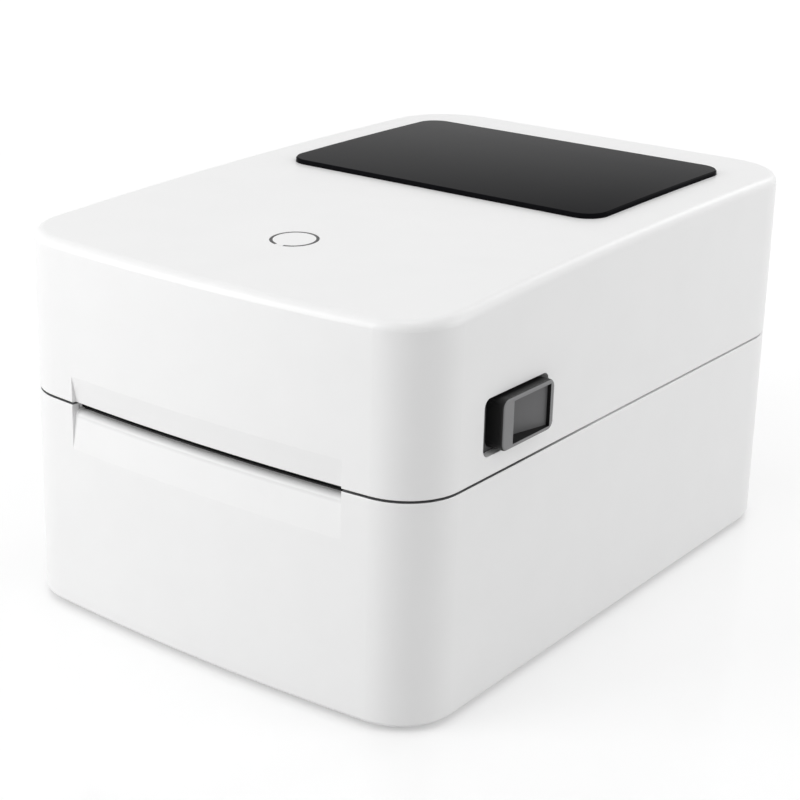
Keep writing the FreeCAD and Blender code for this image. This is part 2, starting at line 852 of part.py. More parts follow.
# Posts that carry the rack tray under the bay
rack_pitch_radius = rack_module * rack_teeth / 2
rack_root = rack_pitch_radius + tooth_root * rack_module
rack_back = rack_root + rack_body
tray_half_width = bay_end
tray_half_length = rack_back + tray_gap + tray_rail + tray_margin + tray_post_radius
post_x = tray_half_width - tray_post_radius - tray_margin
post_y = tray_half_length - tray_post_radius
tray_posts = []
for x in (-post_x, post_x):
    for y in (bay_y - post_y, bay_y + post_y):
        tray_posts.append((x, y))
        post = rod_z(tray_post_radius, z_tray1, bay_z - bay_radius / 2, x, y)
        chassis = chassis.fuse(post.cut(bay_inner))
axle = rod_z(pinion_bore_radius - running_clearance, z_rack0, bay_z - bay_radius - bay_wall / 2, 0, bay_y)
chassis = chassis.fuse(axle)
for x, y in tray_posts:
    chassis = chassis.cut(rod_z(board_screw_radius, z_tray0, z_tray1 + board_screw_grip, x, y))
chassis = chassis.removeSplitter()
save("chassis", chassis)

# Rack tray, screwed under the bay, with a rail behind each rack
tray_y0 = bay_y - tray_half_length
tray_y1 = bay_y + tray_half_length
tray = box(-tray_half_width, tray_half_width, tray_y0, tray_y1, z_tray0, z_tray1)
tray = rounded(tray, tray_post_radius, AXIS_Z)
for side in (-1, 1):
    edge = side * (rack_back + tray_gap)
    far = edge + side * tray_rail
    tray = tray.fuse(box(
        -post_x + 2 * tray_post_radius, post_x - 2 * tray_post_radius,
        bay_y + min(edge, far), bay_y + max(edge, far), z_tray0, z_rack1,
    ))
for x, y in tray_posts:
    tray = tray.cut(rod_z(board_screw_radius + screw_hole_clearance, z_tray0, z_tray1, x, y))
save("rack_tray", tray.removeSplitter())
tray_screws = [
    screw(x, y, z_tray0, tray_thickness + board_screw_grip, board_screw_radius,
          board_screw_head, board_screw_head_height, False)
    for x, y in tray_posts
]

# Roll guides: a plate and hub in the bay, a neck through the bay's floor and a rack below
arm = rod_x(bay_radius - guide_edge_gap, -guide_x1, -guide_x0, bay_y, bay_z)
arm_y0 = bay_y - guide_half_width
arm_y1 = bay_y + guide_half_width
arm = arm.common(box(-guide_x1, -guide_x0, arm_y0, arm_y1, z_floor, bay_z))
hub_plate = rod_x(guide_hub_plate_radius, -guide_x1, -guide_x0, bay_y, bay_z)
hub = rod_x(guide_hub_radius, -guide_x1, -guide_x0 + guide_hub_reach, bay_y, bay_z)
neck = box(
    -guide_x1, -guide_x0, bay_y - guide_neck_width / 2, bay_y + guide_neck_width / 2,
    z_rack0, bay_z - bay_radius + guide_edge_gap + guide_plate,
)
foot = box(-guide_x1, -guide_x0, bay_y - rack_back, bay_y + guide_neck_width / 2, z_rack0, z_rack1)
rack_pitch = math.pi * rack_module
tooth_half = rack_pitch / 4 - rack_backlash / 2
flank_run = math.tan(math.radians(pressure_angle))
rack_end = rack_pitch * 2.5
rack_tip = rack_pitch_radius - tooth_tip * rack_module
root_half = tooth_half + tooth_root * rack_module * flank_run
tip_half = tooth_half - tooth_tip * rack_module * flank_run
points = [
    Vector(rack_end, bay_y - rack_root, z_rack0),
    Vector(rack_end, bay_y - rack_back, z_rack0),
    Vector(-guide_x0, bay_y - rack_back, z_rack0),
    Vector(-guide_x0, bay_y - rack_root, z_rack0),
]
tooth_count = int((guide_travel + rack_end) / rack_pitch) + 3
for tooth in range(tooth_count):
    middle = rack_pitch * (1.5 - (tooth_count - 1 - tooth))
    points.append(Vector(middle - root_half, bay_y - rack_root, z_rack0))
    points.append(Vector(middle - tip_half, bay_y - rack_tip, z_rack0))
    points.append(Vector(middle + tip_half, bay_y - rack_tip, z_rack0))
    points.append(Vector(middle + root_half, bay_y - rack_root, z_rack0))
rack = polygon(points).extrude(AXIS_Z * rack_height)
guide_left = arm.fuse([hub_plate, hub, neck, foot, rack]).removeSplitter()
guide_right = guide_left.copy()
guide_right.rotate(Vector(0, bay_y, 0), AXIS_Z, 180)
save("roll_guide_left", guide_left)
save("roll_guide_right", guide_right)
pinion = gear(
    rack_teeth, rack_module, rack_backlash, Vector(0, bay_y, z_rack0), AXIS_X, AXIS_Y,
    AXIS_Z * rack_height, -math.pi / 2,
)
save("guide_pinion", pinion.cut(rod_z(pinion_bore_radius, z_rack0, z_rack1, 0, bay_y)))

# Platen roller with its bushes
shaft_x0 = inner_gear_x0
shaft_x1 = cheek_out + shaft_overhang_right
save("platen_shaft", rod_x(shaft_radius, shaft_x0, shaft_x1, platen_y, platen_z))
rubber = rod_x(platen_radius, -platen_length / 2, platen_length / 2, platen_y, platen_z)
save("platen_rubber", rubber.cut(rod_x(shaft_radius, shaft_x0, shaft_x1, platen_y, platen_z)))
bush = rod_x(bush_radius, cheek_in, cheek_out, platen_y, platen_z)
bush = bush.fuse(rod_x(bush_flange_radius, cheek_in - bush_flange, cheek_in, platen_y, platen_z))
bush = bush.cut(rod_x(shaft_radius + running_clearance, 0, case_width, platen_y, platen_z)).removeSplitter()
save("platen_bush_right", bush)
save("platen_bush_left", mirrored(bush))

# Gears: platen and small idler gear in the inner plane, large idler gear and motor pinion outside
platen_gear = gear(
    platen_teeth, gear_module, gear_backlash, Vector(inner_gear_x0, platen_y, platen_z),
    AXIS_Y, AXIS_Z, AXIS_X * inner_gear_width, idler_turn,
)
save("platen_gear", platen_gear.cut(rod_x(shaft_radius, shaft_x0, 0, platen_y, platen_z)))
idler_small = gear(
    idler_small_teeth, gear_module, gear_backlash, Vector(outer_gear_x1, idler_y, idler_z),
    AXIS_Y, AXIS_Z, AXIS_X * (inner_gear_x1 - outer_gear_x1),
    idler_turn + math.pi - math.pi / idler_small_teeth,
)
idler_large = gear(
    idler_large_teeth, gear_module, gear_backlash, Vector(outer_gear_x0, idler_y, idler_z),
    AXIS_Y, AXIS_Z, AXIS_X * outer_gear_width, motor_turn,
)
idler_bore = rod_x(idler_pin_radius + running_clearance, outer_gear_x0, 0, idler_y, idler_z)
save("idler_gear", idler_small.fuse(idler_large).cut(idler_bore))
pin_head_x = outer_gear_x0 - face_clearance
idler_pin = rod_x(idler_pin_radius, pin_head_x, -cheek_out, idler_y, idler_z)
idler_pin = idler_pin.fuse(rod_x(idler_head_radius, pin_head_x - idler_head, pin_head_x, idler_y, idler_z))
save("idler_pin", idler_pin.removeSplitter())
motor_pinion = gear(
    pinion_teeth, gear_module, gear_backlash, Vector(outer_gear_x0, motor_y, motor_z),
    AXIS_Y, AXIS_Z, AXIS_X * outer_gear_width, motor_turn + math.pi - math.pi / pinion_teeth,
)
shaft_end_x = motor_shaft_inside - cheek_out
motor_axle = rod_x(motor_shaft_radius, outer_gear_x0, shaft_end_x, motor_y, motor_z)
save("motor_shaft", motor_axle)
save("motor_pinion", motor_pinion.cut(motor_axle))

# Motor on its steel gear plate
motor = rod_x(motor_radius, -cheek_out, -cheek_out + motor_length, motor_y, motor_z)
motor = motor.fuse(rod_x(motor_boss_radius, plate_x, -cheek_out, motor_y, motor_z))
motor_bore = rod_x(
    motor_shaft_radius + running_clearance, plate_x, shaft_end_x + face_clearance, motor_y, motor_z,
)
motor_screw_places = [(motor_y - motor_screw_offset, motor_z), (motor_y + motor_screw_offset, motor_z)]
motor_cuts = [motor_bore]
plate = box(
    plate_x, -cheek_out, platen_y - cheek_width / 2, motor_y + motor_radius + face_clearance,
    motor_z - plate_margin, z_deck_under - face_clearance,
)
plate_cuts = [
    rod_x(motor_boss_radius, plate_x, -cheek_out, motor_y, motor_z),
    rod_x(idler_pin_radius, plate_x, -cheek_out, idler_y, idler_z),
    rod_x(bush_radius, plate_x, -cheek_out, platen_y, platen_z),
    box(plate_x, -cheek_out, platen_y - bush_radius, platen_y + bush_radius, platen_z, z_deck),
]
motor_screws = []
for y, z in motor_screw_places:
    hole = rod_x(motor_screw_radius, plate_x, -cheek_out + motor_screw_grip, y, z)
    motor_cuts.append(hole)
    plate_cuts.append(hole)
    head = rod_x(2 * motor_screw_radius, plate_x - motor_screw_radius, plate_x, y, z)
    motor_screws.append(hole.fuse(head).removeSplitter())
save("motor_body", motor.cut(motor_cuts).removeSplitter())
plate_screws = []
for y, z in plate_screw_places:
    shank = rod_x(board_screw_radius, plate_x, -cheek_in, y, z)
    plate_cuts.append(shank)
    head = rod_x(screw_radius, plate_x - gear_side_gap / 2, plate_x, y, z)
    plate_screws.append(shank.fuse(head).removeSplitter())
save("gear_plate", plate.cut(plate_cuts))
save("motor_screws", *motor_screws)
save("plate_screws", *plate_screws)

# Label sensor in the deck
sensor = box(
    sensor_x - sensor_width / 2, sensor_x + sensor_width / 2,
    sensor_y - sensor_length / 2, sensor_y + sensor_length / 2, z_deck - sensor_depth, z_deck + sensor_rise,
)
save("gap_sensor", sensor)

# Steel catches under the edges of the deck
catch = box(
    hook_x0 - catch_seat, hook_x1, catch_y0, catch_y0 + catch_length, catch_z0, catch_z0 + catch_thickness,
)
save("catch_right", catch)
save("catch_left", mirrored(catch))

# Main board with its parts
board = box(-board_half_width, board_half_width, board_front, board_back, z_board, z_board_top)
for x, y in standoffs:
    board = board.cut(rod_z(board_screw_radius, z_board, z_board_top, x, y))
save("main_board", board)
board_screws = [
    screw(x, y, z_board_top, board_thickness + board_rise, board_screw_radius,
          board_screw_head, board_screw_head_height, True)
    for x, y in standoffs
]
save("small_screws", *tray_screws, *board_screws)
chip_y = board_front + chip_side
chips = []
for x in (-2 * chip_side, 0, 2 * chip_side):
    chips.append(box(
        x - chip_side / 2, x + chip_side / 2, chip_y - chip_side / 2, chip_y + chip_side / 2,
        z_board_top, z_board_top + chip_height,
    ))
save("board_chips", *chips)
save("board_capacitors", *[
    rod_z(capacitor_radius, z_board_top, z_board_top + capacitor_height, x, chip_y)
    for x in (-chip_side, chip_side)
])
ribbon_x0 = ribbon_x - ribbon_width / 2
ribbon_x1 = ribbon_x + ribbon_width / 2
z_connector = z_board_top + connector_height
save("board_connector", box(
    ribbon_x0 - ribbon_thickness, ribbon_x1 + ribbon_thickness,
    board_back - connector_depth, board_back, z_board_top, z_connector,
))

# Data and power sockets in the rear recess
socket_face = recess_floor_y + socket_reach
usb = box(
    usb_x - usb_width / 2, usb_x + usb_width / 2, socket_face - usb_depth, socket_face,
    z_board_top, z_board_top + usb_height,
)
usb_hollow_half = usb_width / 2 - usb_wall
usb = usb.cut(box(
    usb_x - usb_hollow_half, usb_x + usb_hollow_half, socket_face - usb_hollow_depth, socket_face,
    z_board_top + usb_wall, z_board_top + usb_height - usb_wall,
))
usb_middle = z_board_top + usb_height / 2
usb = usb.fuse(box(
    usb_x - usb_tongue_width / 2, usb_x + usb_tongue_width / 2,
    socket_face - usb_hollow_depth - usb_wall, socket_face - usb_wall,
    usb_middle - usb_tongue_height / 2, usb_middle + usb_tongue_height / 2,
))
save("usb_socket", usb.removeSplitter())
dc_middle = z_board_top + dc_height / 2
dc = box(
    dc_x - dc_width / 2, dc_x + dc_width / 2, socket_face - dc_depth, socket_face,
    z_board_top, z_board_top + dc_height,
)
dc = dc.cut(rod_y(dc_bore_radius, socket_face - dc_bore_depth, socket_face, dc_x, dc_middle))
dc_bore_end = socket_face - dc_bore_depth
dc = dc.fuse(rod_y(dc_pin_radius, dc_bore_end - wall, socket_face - socket_reach, dc_x, dc_middle))
save("dc_socket", dc.removeSplitter())

# Power switch: body clipped in the recess, rocker on an upright pivot
bezel_face = recess_floor_y + switch_bezel
switch_half_x = switch_body_width / 2
switch_half_z = switch_body_height / 2
switch_body = box(
    switch_x - switch_half_x, switch_x + switch_half_x, recess_floor_y - switch_body_depth, bezel_face,
    switch_z - switch_half_z, switch_z + switch_half_z,
)
bezel = box(
    switch_x - switch_half_x - switch_bezel_border, switch_x + switch_half_x + switch_bezel_border,
    recess_floor_y, bezel_face,
    switch_z - switch_half_z - switch_bezel_border, switch_z + switch_half_z + switch_bezel_border,
)
well_half_x = switch_half_x - switch_shell
well_half_z = switch_half_z - switch_shell
well = box(
    switch_x - well_half_x, switch_x + well_half_x, bezel_face - rocker_well, bezel_face,
    switch_z - well_half_z, switch_z + well_half_z,
)
pivot_y_switch = bezel_face - rocker_thickness / 2
pivot_half = switch_half_z - switch_shell / 2
pivot_hole = rod_z(
    rocker_pivot_radius + running_clearance, switch_z - pivot_half - face_clearance,
    switch_z + pivot_half + face_clearance, switch_x, pivot_y_switch,
)
save("power_switch_body", switch_body.fuse(bezel).cut([well, pivot_hole]).removeSplitter())
rocker_half_x = well_half_x - rocker_clearance
rocker_half_z = well_half_z - rocker_clearance
rocker = box(
    switch_x - rocker_half_x, switch_x + rocker_half_x,
    pivot_y_switch - rocker_thickness / 2, pivot_y_switch + rocker_thickness / 2,
    switch_z - rocker_half_z, switch_z + rocker_half_z,
)
rocker = rocker.fuse(rod_z(
    rocker_pivot_radius, switch_z - pivot_half, switch_z + pivot_half, switch_x, pivot_y_switch,
)).removeSplitter()
rocker.rotate(Vector(switch_x, pivot_y_switch, switch_z), AXIS_Z, -rocker_tilt)
save("power_rocker", rocker)

# Print head levels
z_heater0 = platen_z + platen_radius + head_gap
z_head0 = z_heater0 + heater_height
z_bracket0 = z_head0 + head_height
z_bracket1 = z_bracket0 + bracket_thickness
z_carrier0 = z_bracket1 + head_spring_length
z_carrier1 = z_carrier0 + carrier_plate
pivot_y = platen_y + pivot_behind_line
pivot_z = z_bracket1 + pivot_above_bracket
carrier_in = bracket_width / 2 + carrier_side_gap
carrier_out = carrier_in + carrier_cheek
carrier_y0 = platen_y - carrier_front_margin
carrier_y1 = pivot_y + carrier_back_margin
carrier_screws = []
for x in (-carrier_screw_x, carrier_screw_x):
    for y in (carrier_y0 + carrier_screw_margin, carrier_y1 - carrier_screw_margin):
        carrier_screws.append((x, y))


def on_top(shape):
    """Move a piece modelled at the origin to the feed button's place, square to the arched top."""
    tilt = math.degrees(math.asin((crest_y - button_y) / top_radius))
    shape.rotate(Vector(0, 0, 0), AXIS_X, tilt)
    shape.translate(Vector(0, button_y, top_height(button_y)))
    return shape


button_y = y_front + button_from_front
hole_radius = button_radius + button_clearance
collar_low = -wall - button_collar_depth
flange_top = collar_low - face_clearance
flange_low = flange_top - button_flange_thickness
stem_low = flange_low - button_stem_length
switch_top = stem_low - button_travel - face_clearance
button_board_top = switch_top - switch_height
latch_plate_x1 = inner_side - slide_clearance
latch_plate_x0 = latch_plate_x1 - latch_plate_thickness
latch_plate_y0 = opening_y0 - latch_plate_margin
latch_plate_y1 = opening_y1 + latch_travel + latch_plate_margin
latch_plate_z0 = opening_z0 - latch_plate_margin
latch_plate_z1 = opening_z1 + latch_plate_margin
stop_z0 = z_rim + lip_height + lip_clearance
stop_z1 = latch_plate_z0 - face_clearance
spring_y0 = hook_y0 - latch_spring_length
hook_middle = (hook_x0 + hook_x1) / 2

# Top cover
cover = case_prism(0, z_cover, z_top + wall).common(under_top(0))
top_edges = [edge for edge in cover.Edges if edge.BoundBox.ZMin > z_cover + cover_height / 2]
cover = cover.makeFillet(top_edge_round, top_edges)
rim_edges = [edge for edge in cover.Edges if edge.BoundBox.ZMax < z_cover + tiny]
cover = cover.makeFillet(rim_edge_round, rim_edges)
cover = cover.cut(case_prism(wall, z_cover - wall, z_top).common(under_top(-wall)))
cover_rib = case_prism(wall / 2, z_cover, z_cover + exit_rib_above)
cover_rib = cover_rib.common(box(-exit_rib_half, exit_rib_half, y_front, y_rib, z_cover, z_top))
adds = [cover_rib]
for x, y in carrier_screws:
    adds.append(rod_z(carrier_boss_radius, z_carrier1, z_top, x, y).common(under_top(-wall / 2)))
adds.append(on_top(rod_z(hole_radius + button_collar_wall, collar_low, -wall / 2, 0, 0)))
for x in (-button_post_offset, button_post_offset):
    adds.append(on_top(rod_z(button_post_radius, button_board_top, -wall / 2, x, 0)))
spring_stop = box(
    hook_x0, inner_side + wall / 2, spring_y0 - spring_stop_thickness, spring_y0, stop_z0, stop_z1,
)
rail = box(
    latch_plate_x0, inner_side + wall / 2, latch_plate_y0, latch_plate_y1,
    latch_plate_z1 + face_clearance, latch_plate_z1 + face_clearance + wall,
)
adds += both_sides(spring_stop) + both_sides(rail)
cover = cover.fuse(adds)
cuts = [scoop, on_top(rod_z(hole_radius, collar_low - wall, wall, 0, 0))]
opening = rounded(
    box(inner_side - wall, half_width + wall, opening_y0, opening_y1, opening_z0, opening_z1),
    latch_opening_round, AXIS_X,
)
cuts += both_sides(opening)
panel_y0 = y_front + panel_front
seat_block = rounded(box(
    -panel_width / 2 - panel_clearance, panel_width / 2 + panel_clearance,
    panel_y0 - panel_clearance, panel_y0 + panel_length + panel_clearance,
    z_top - cover_height / 2, z_top + wall,
), panel_corner + panel_clearance, AXIS_Z)
cuts.append(seat_block.cut(under_top(-panel_seat)))
for x, y in carrier_screws:
    cuts.append(rod_z(screw_radius, z_carrier1, z_carrier0 + screw_grip, x, y))
for x0, x1 in base_knuckles:
    cuts += both_sides(box(
        x0 - knuckle_gap, x1 + knuckle_gap, hinge_y - knuckle_radius - knuckle_gap, y_back + wall,
        z_cover - wall, hinge_z + knuckle_radius + knuckle_gap,
    ))
cover = cover.cut(cuts)
web = box(
    cover_knuckle[0], cover_knuckle[1], hinge_y - knuckle_radius / 2, y_back - wall / 2,
    hinge_z, hinge_z + hinge_web_height,
)
knuckle = web.fuse(rod_x(knuckle_radius, cover_knuckle[0], cover_knuckle[1], hinge_y, hinge_z))
cover = cover.fuse(both_sides(knuckle))
cover = cover.cut(both_sides(
    rod_x(hinge_pin_radius + running_clearance, cover_knuckle[0], cover_knuckle[1], hinge_y, hinge_z)
)).removeSplitter()
save("top_cover", cover)

# Black panel, seated in the top
panel = rounded(box(
    -panel_width / 2, panel_width / 2, panel_y0, panel_y0 + panel_length,
    z_top - cover_height / 2, z_top + 2 * wall,
), panel_corner, AXIS_Z)
panel = panel.common(under_top(panel_proud)).cut(under_top(-panel_seat))
upper_edges = []
for edge in panel.Edges:
    middle = edge.valueAt((edge.FirstParameter + edge.LastParameter) / 2)
    if abs(middle.z - top_height(middle.y, panel_proud)) < tiny:
        upper_edges.append(edge)
save("top_panel", panel.makeChamfer(panel_bevel, upper_edges))

# Feed button with its C-shaped light ring, open towards the front
ring = Part.makeCylinder(button_radius, ring_depth, Vector(0, 0, -ring_depth), AXIS_Z, 360 - ring_gap_angle)
ring = ring.cut(rod_z(button_radius - ring_width, -ring_depth, 0, 0, 0))
ring.rotate(Vector(0, 0, 0), AXIS_Z, ring_gap_angle / 2 - 90)
cap = rod_z(button_radius, flange_top, 0, 0, 0)
cap = cap.fuse(rod_z(button_radius + button_flange, flange_low, flange_top, 0, 0))
cap = cap.fuse(rod_z(button_stem_radius, stem_low, flange_low, 0, 0))
cap = cap.cut(ring).removeSplitter()
save("button_cap", on_top(cap))
save("button_ring", on_top(ring))
board_half_x = button_board_width / 2
board_half_y = button_board_length / 2
save("button_board", on_top(box(
    -board_half_x, board_half_x, -board_half_y, board_half_y,
    button_board_top - board_thickness, button_board_top,
)))
save("button_switch", on_top(box(
    -switch_side / 2, switch_side / 2, -switch_side / 2, switch_side / 2, button_board_top, switch_top,
)))

# Side latches: tab with a finger pocket, plate behind the opening and hook below
tab = rounded(
    box(latch_plate_x0, half_width + latch_proud, tab_y0, tab_y1, tab_z0, tab_z1), latch_corner, AXIS_X,
)
outer_edges = [edge for edge in tab.Edges if edge.BoundBox.XMin > half_width + latch_proud - tiny]
tab = tab.makeFillet(latch_edge_round, outer_edges)
tab_face = half_width + latch_proud
pocket_y0 = tab_y0 + latch_front_band
pocket_y1 = tab_y1 - latch_back_band
pocket = polygon([
    Vector(tab_face + wall, pocket_y0, tab_z0 + latch_rim),
    Vector(tab_face - latch_pocket_deep, pocket_y0, tab_z0 + latch_rim),
    Vector(tab_face - latch_pocket_shallow, pocket_y1, tab_z0 + latch_rim),
    Vector(tab_face + wall, pocket_y1, tab_z0 + latch_rim),
]).extrude(AXIS_Z * (tab_z1 - tab_z0 - 2 * latch_rim))
latch_plate = box(
    latch_plate_x0, latch_plate_x1, latch_plate_y0, latch_plate_y1, latch_plate_z0, latch_plate_z1,
)
hook = box(hook_x0, hook_x1, hook_y0, hook_y1, hook_z0, tab_z0)
nose = box(hook_x0, hook_x1, hook_y1, hook_y1 + nose_reach, hook_z0, hook_z0 + nose_height)
latch = tab.fuse([latch_plate, hook, nose]).cut(pocket).removeSplitter()
save("latch_right", latch)
save("latch_left", mirrored(latch))
spring_start = Vector(hook_middle, spring_y0, (stop_z0 + stop_z1) / 2)
latch_spring = coil_spring(
    "latch spring", spring_start, AXIS_Y, AXIS_Z, latch_spring_radius, latch_spring_wire,
    latch_spring_length, latch_spring_turns,
)
save("latch_spring_right", latch_spring)
save("latch_spring_left", mirrored(latch_spring))

# Print head on its pivoting bracket
heater_y0 = platen_y - heater_length / 2
save("heater_strip", box(
    -heater_width / 2, heater_width / 2, heater_y0, heater_y0 + heater_length, z_heater0, z_head0,
))
head_y0 = platen_y - head_front_offset
head_half = platen_length / 2
save("print_head", box(-head_half, head_half, head_y0, head_y0 + head_length, z_head0, z_bracket0))
bracket_half = bracket_width / 2
bracket_y1 = pivot_y + bracket_back_margin
bracket = box(-bracket_half, bracket_half, head_y0, bracket_y1, z_bracket0, z_bracket1)
ear = box(
    bracket_half - bracket_thickness, bracket_half, pivot_y - ear_radius, pivot_y + ear_radius,
    z_bracket0, pivot_z,
)
ear = ear.fuse(rod_x(ear_radius, bracket_half - bracket_thickness, bracket_half, pivot_y, pivot_z))
bracket = bracket.fuse(both_sides(ear))
pivot_hole_radius = pivot_radius + running_clearance
bracket = bracket.cut(rod_x(pivot_hole_radius, -bracket_half, bracket_half, pivot_y, pivot_z))
save("head_bracket", bracket.removeSplitter())
z_plug = z_bracket1 + connector_height
save("head_connector", box(
    ribbon_x0 - ribbon_thickness, ribbon_x1 + ribbon_thickness,
    bracket_y1 - connector_depth, bracket_y1, z_bracket1, z_plug,
))

# Carrier that holds the head inside the cover
carrier = box(-carrier_out, carrier_out, carrier_y0, carrier_y1, z_carrier0, z_carrier1)
carrier_cheek_block = box(
    carrier_in, carrier_out, pivot_y - ear_radius - wall, carrier_y1, pivot_z - ear_radius, z_carrier1,
)
carrier = carrier.fuse(both_sides(carrier_cheek_block))
cuts = [rod_x(pivot_radius, -carrier_out, carrier_out, pivot_y, pivot_z)]
for x, y in carrier_screws:
    cuts.append(rod_z(screw_radius + screw_hole_clearance, z_carrier0, z_carrier1, x, y))
save("head_carrier", carrier.cut(cuts).removeSplitter())
save("head_pivot_pin", rod_x(pivot_radius, -carrier_out, carrier_out, pivot_y, pivot_z))
save("carrier_screws", *[
    screw(x, y, z_carrier0, screw_grip, screw_radius, screw_head_radius, screw_head_height, False)
    for x, y in carrier_screws
])
spring_y = pivot_y - head_spring_ahead_of_pivot
head_spring = coil_spring(
    "head spring", Vector(head_spring_x, spring_y, z_bracket1), AXIS_Z, AXIS_X, head_spring_radius,
    head_spring_wire, head_spring_length, head_spring_turns,
)
save("head_spring_right", head_spring)
save("head_spring_left", mirrored(head_spring))

# Tear bar: steel strip with a toothed lower edge, behind the front of the cover
bar_half = tear_bar_width / 2
z_notch = z_cover + tear_bar_drop + tear_tooth_depth
teeth = int(tear_bar_width / tear_tooth_pitch)
z_bar = z_cover + tear_bar_height
points = [Vector(bar_half, y_rib, z_bar), Vector(-bar_half, y_rib, z_bar)]
for tooth in range(teeth):
    x = -teeth * tear_tooth_pitch / 2 + tooth * tear_tooth_pitch
    points.append(Vector(x, y_rib, z_notch))
    points.append(Vector(x + tear_tooth_pitch / 2, y_rib, z_notch - tear_tooth_depth))
points.append(Vector(teeth * tear_tooth_pitch / 2, y_rib, z_notch))
save("tear_bar", polygon(points).extrude(AXIS_Y * tear_bar_thickness))

# Flat ribbon: from the head under the top to the back, over the hinge and down to the main board
ribbon_top = -wall - ribbon_off_cover
ribbon_y0 = bracket_y1 - connector_depth / 2
ribbon_y1 = y_back - wall - ribbon_back_gap
z_ribbon_low = hinge_z + hinge_web_height
band = box(ribbon_x0, ribbon_x1, ribbon_y0, ribbon_y1, z_carrier1, z_top)
band = band.common(under_top(ribbon_top)).cut(under_top(ribbon_top - ribbon_thickness))
front_drop = box(
    ribbon_x0, ribbon_x1, ribbon_y0, ribbon_y0 + ribbon_thickness, z_plug + ribbon_drop_gap, z_top,
).common(under_top(ribbon_top))
back_drop = box(
    ribbon_x0, ribbon_x1, ribbon_y1 - ribbon_thickness, ribbon_y1, z_ribbon_low, z_top,
).common(under_top(ribbon_top))
save("head_cable", band.fuse([front_drop, back_drop]).removeSplitter())
board_ribbon_y = deck_end + ribbon_board_gap
crossing = polygon([
    Vector(ribbon_x0, ribbon_y1 - ribbon_thickness, z_ribbon_low),
    Vector(ribbon_x0, ribbon_y1, z_ribbon_low),
    Vector(ribbon_x0, board_ribbon_y + ribbon_thickness, z_deck_under),
    Vector(ribbon_x0, board_ribbon_y, z_deck_under),
]).extrude(AXIS_X * ribbon_width)
save("hinge_cable", crossing)
save("board_cable", box(
    ribbon_x0, ribbon_x1, board_ribbon_y, board_ribbon_y + ribbon_thickness, z_connector, z_deck_under,
))

print(len(pieces), "pieces")
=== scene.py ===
import math

import bmesh
import bpy
from mathutils import Matrix, Vector


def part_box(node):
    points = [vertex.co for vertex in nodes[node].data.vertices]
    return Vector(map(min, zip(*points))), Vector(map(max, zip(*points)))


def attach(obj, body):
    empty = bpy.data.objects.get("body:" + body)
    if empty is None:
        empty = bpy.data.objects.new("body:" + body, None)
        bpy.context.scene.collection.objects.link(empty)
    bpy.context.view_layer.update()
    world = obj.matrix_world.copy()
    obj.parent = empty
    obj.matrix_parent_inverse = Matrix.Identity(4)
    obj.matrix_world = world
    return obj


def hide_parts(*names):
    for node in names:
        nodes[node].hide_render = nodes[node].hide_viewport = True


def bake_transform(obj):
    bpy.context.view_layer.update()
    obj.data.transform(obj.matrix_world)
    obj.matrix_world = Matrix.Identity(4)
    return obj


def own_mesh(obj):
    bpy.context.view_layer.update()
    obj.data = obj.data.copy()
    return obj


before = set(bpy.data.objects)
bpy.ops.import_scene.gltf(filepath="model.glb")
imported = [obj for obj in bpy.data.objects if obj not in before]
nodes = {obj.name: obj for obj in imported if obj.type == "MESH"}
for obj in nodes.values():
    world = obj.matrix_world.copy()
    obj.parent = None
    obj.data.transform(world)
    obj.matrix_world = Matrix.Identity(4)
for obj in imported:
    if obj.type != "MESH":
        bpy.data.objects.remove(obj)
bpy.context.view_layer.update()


# Lower case and lid: two white shells that meet at the seam, and the white cap of the feed button.
# All three are injection-moulded ABS from spark-eroded tools, so the eye gets an even satin white
# with soft, wide highlights along the rounded edges.
def linear(hex_colour):
    """Turn an sRGB hex colour into the linear values that a shader takes."""
    channels = [int(hex_colour[i:i + 2], 16) / 255 for i in (1, 3, 5)]
    return [c / 12.92 if c <= 0.04045 else ((c + 0.055) / 1.055) ** 2.4 for c in channels] + [1.0]


def add_node(owner, kind, settings=None, links=None):
    """Add one shader node; settings go to its properties or inputs, links to its input sockets."""
    node = owner.node_tree.nodes.new(kind)
    for name, value in (settings or {}).items():
        if isinstance(name, str) and hasattr(node, name):
            setattr(node, name, value)
        else:
            node.inputs[name].default_value = value
    for name, socket in (links or {}).items():
        owner.node_tree.links.new(socket, node.inputs[name])
    return node


def new_material(name, **settings):
    """A material with one shader on its output."""
    material = bpy.data.materials.new(name)
    material.use_nodes = True
    material.node_tree.nodes.clear()
    shader = add_node(material, "ShaderNodeBsdfPrincipled", settings)
    add_node(material, "ShaderNodeOutputMaterial", links={"Surface": shader.outputs["BSDF"]})
    return material


def shader_of(material):
    """The shader that a material shows."""
    return material.node_tree.nodes["Principled BSDF"]


def feed_shader(material, sockets):
    """Link sockets to the inputs of a material's shader."""
    for name, socket in sockets.items():
        material.node_tree.links.new(socket, shader_of(material).inputs[name])


# A colour mix's sockets go by number, because its number and vector sockets share their names.
mix_first = 6
mix_second = 7
mix_result = 2


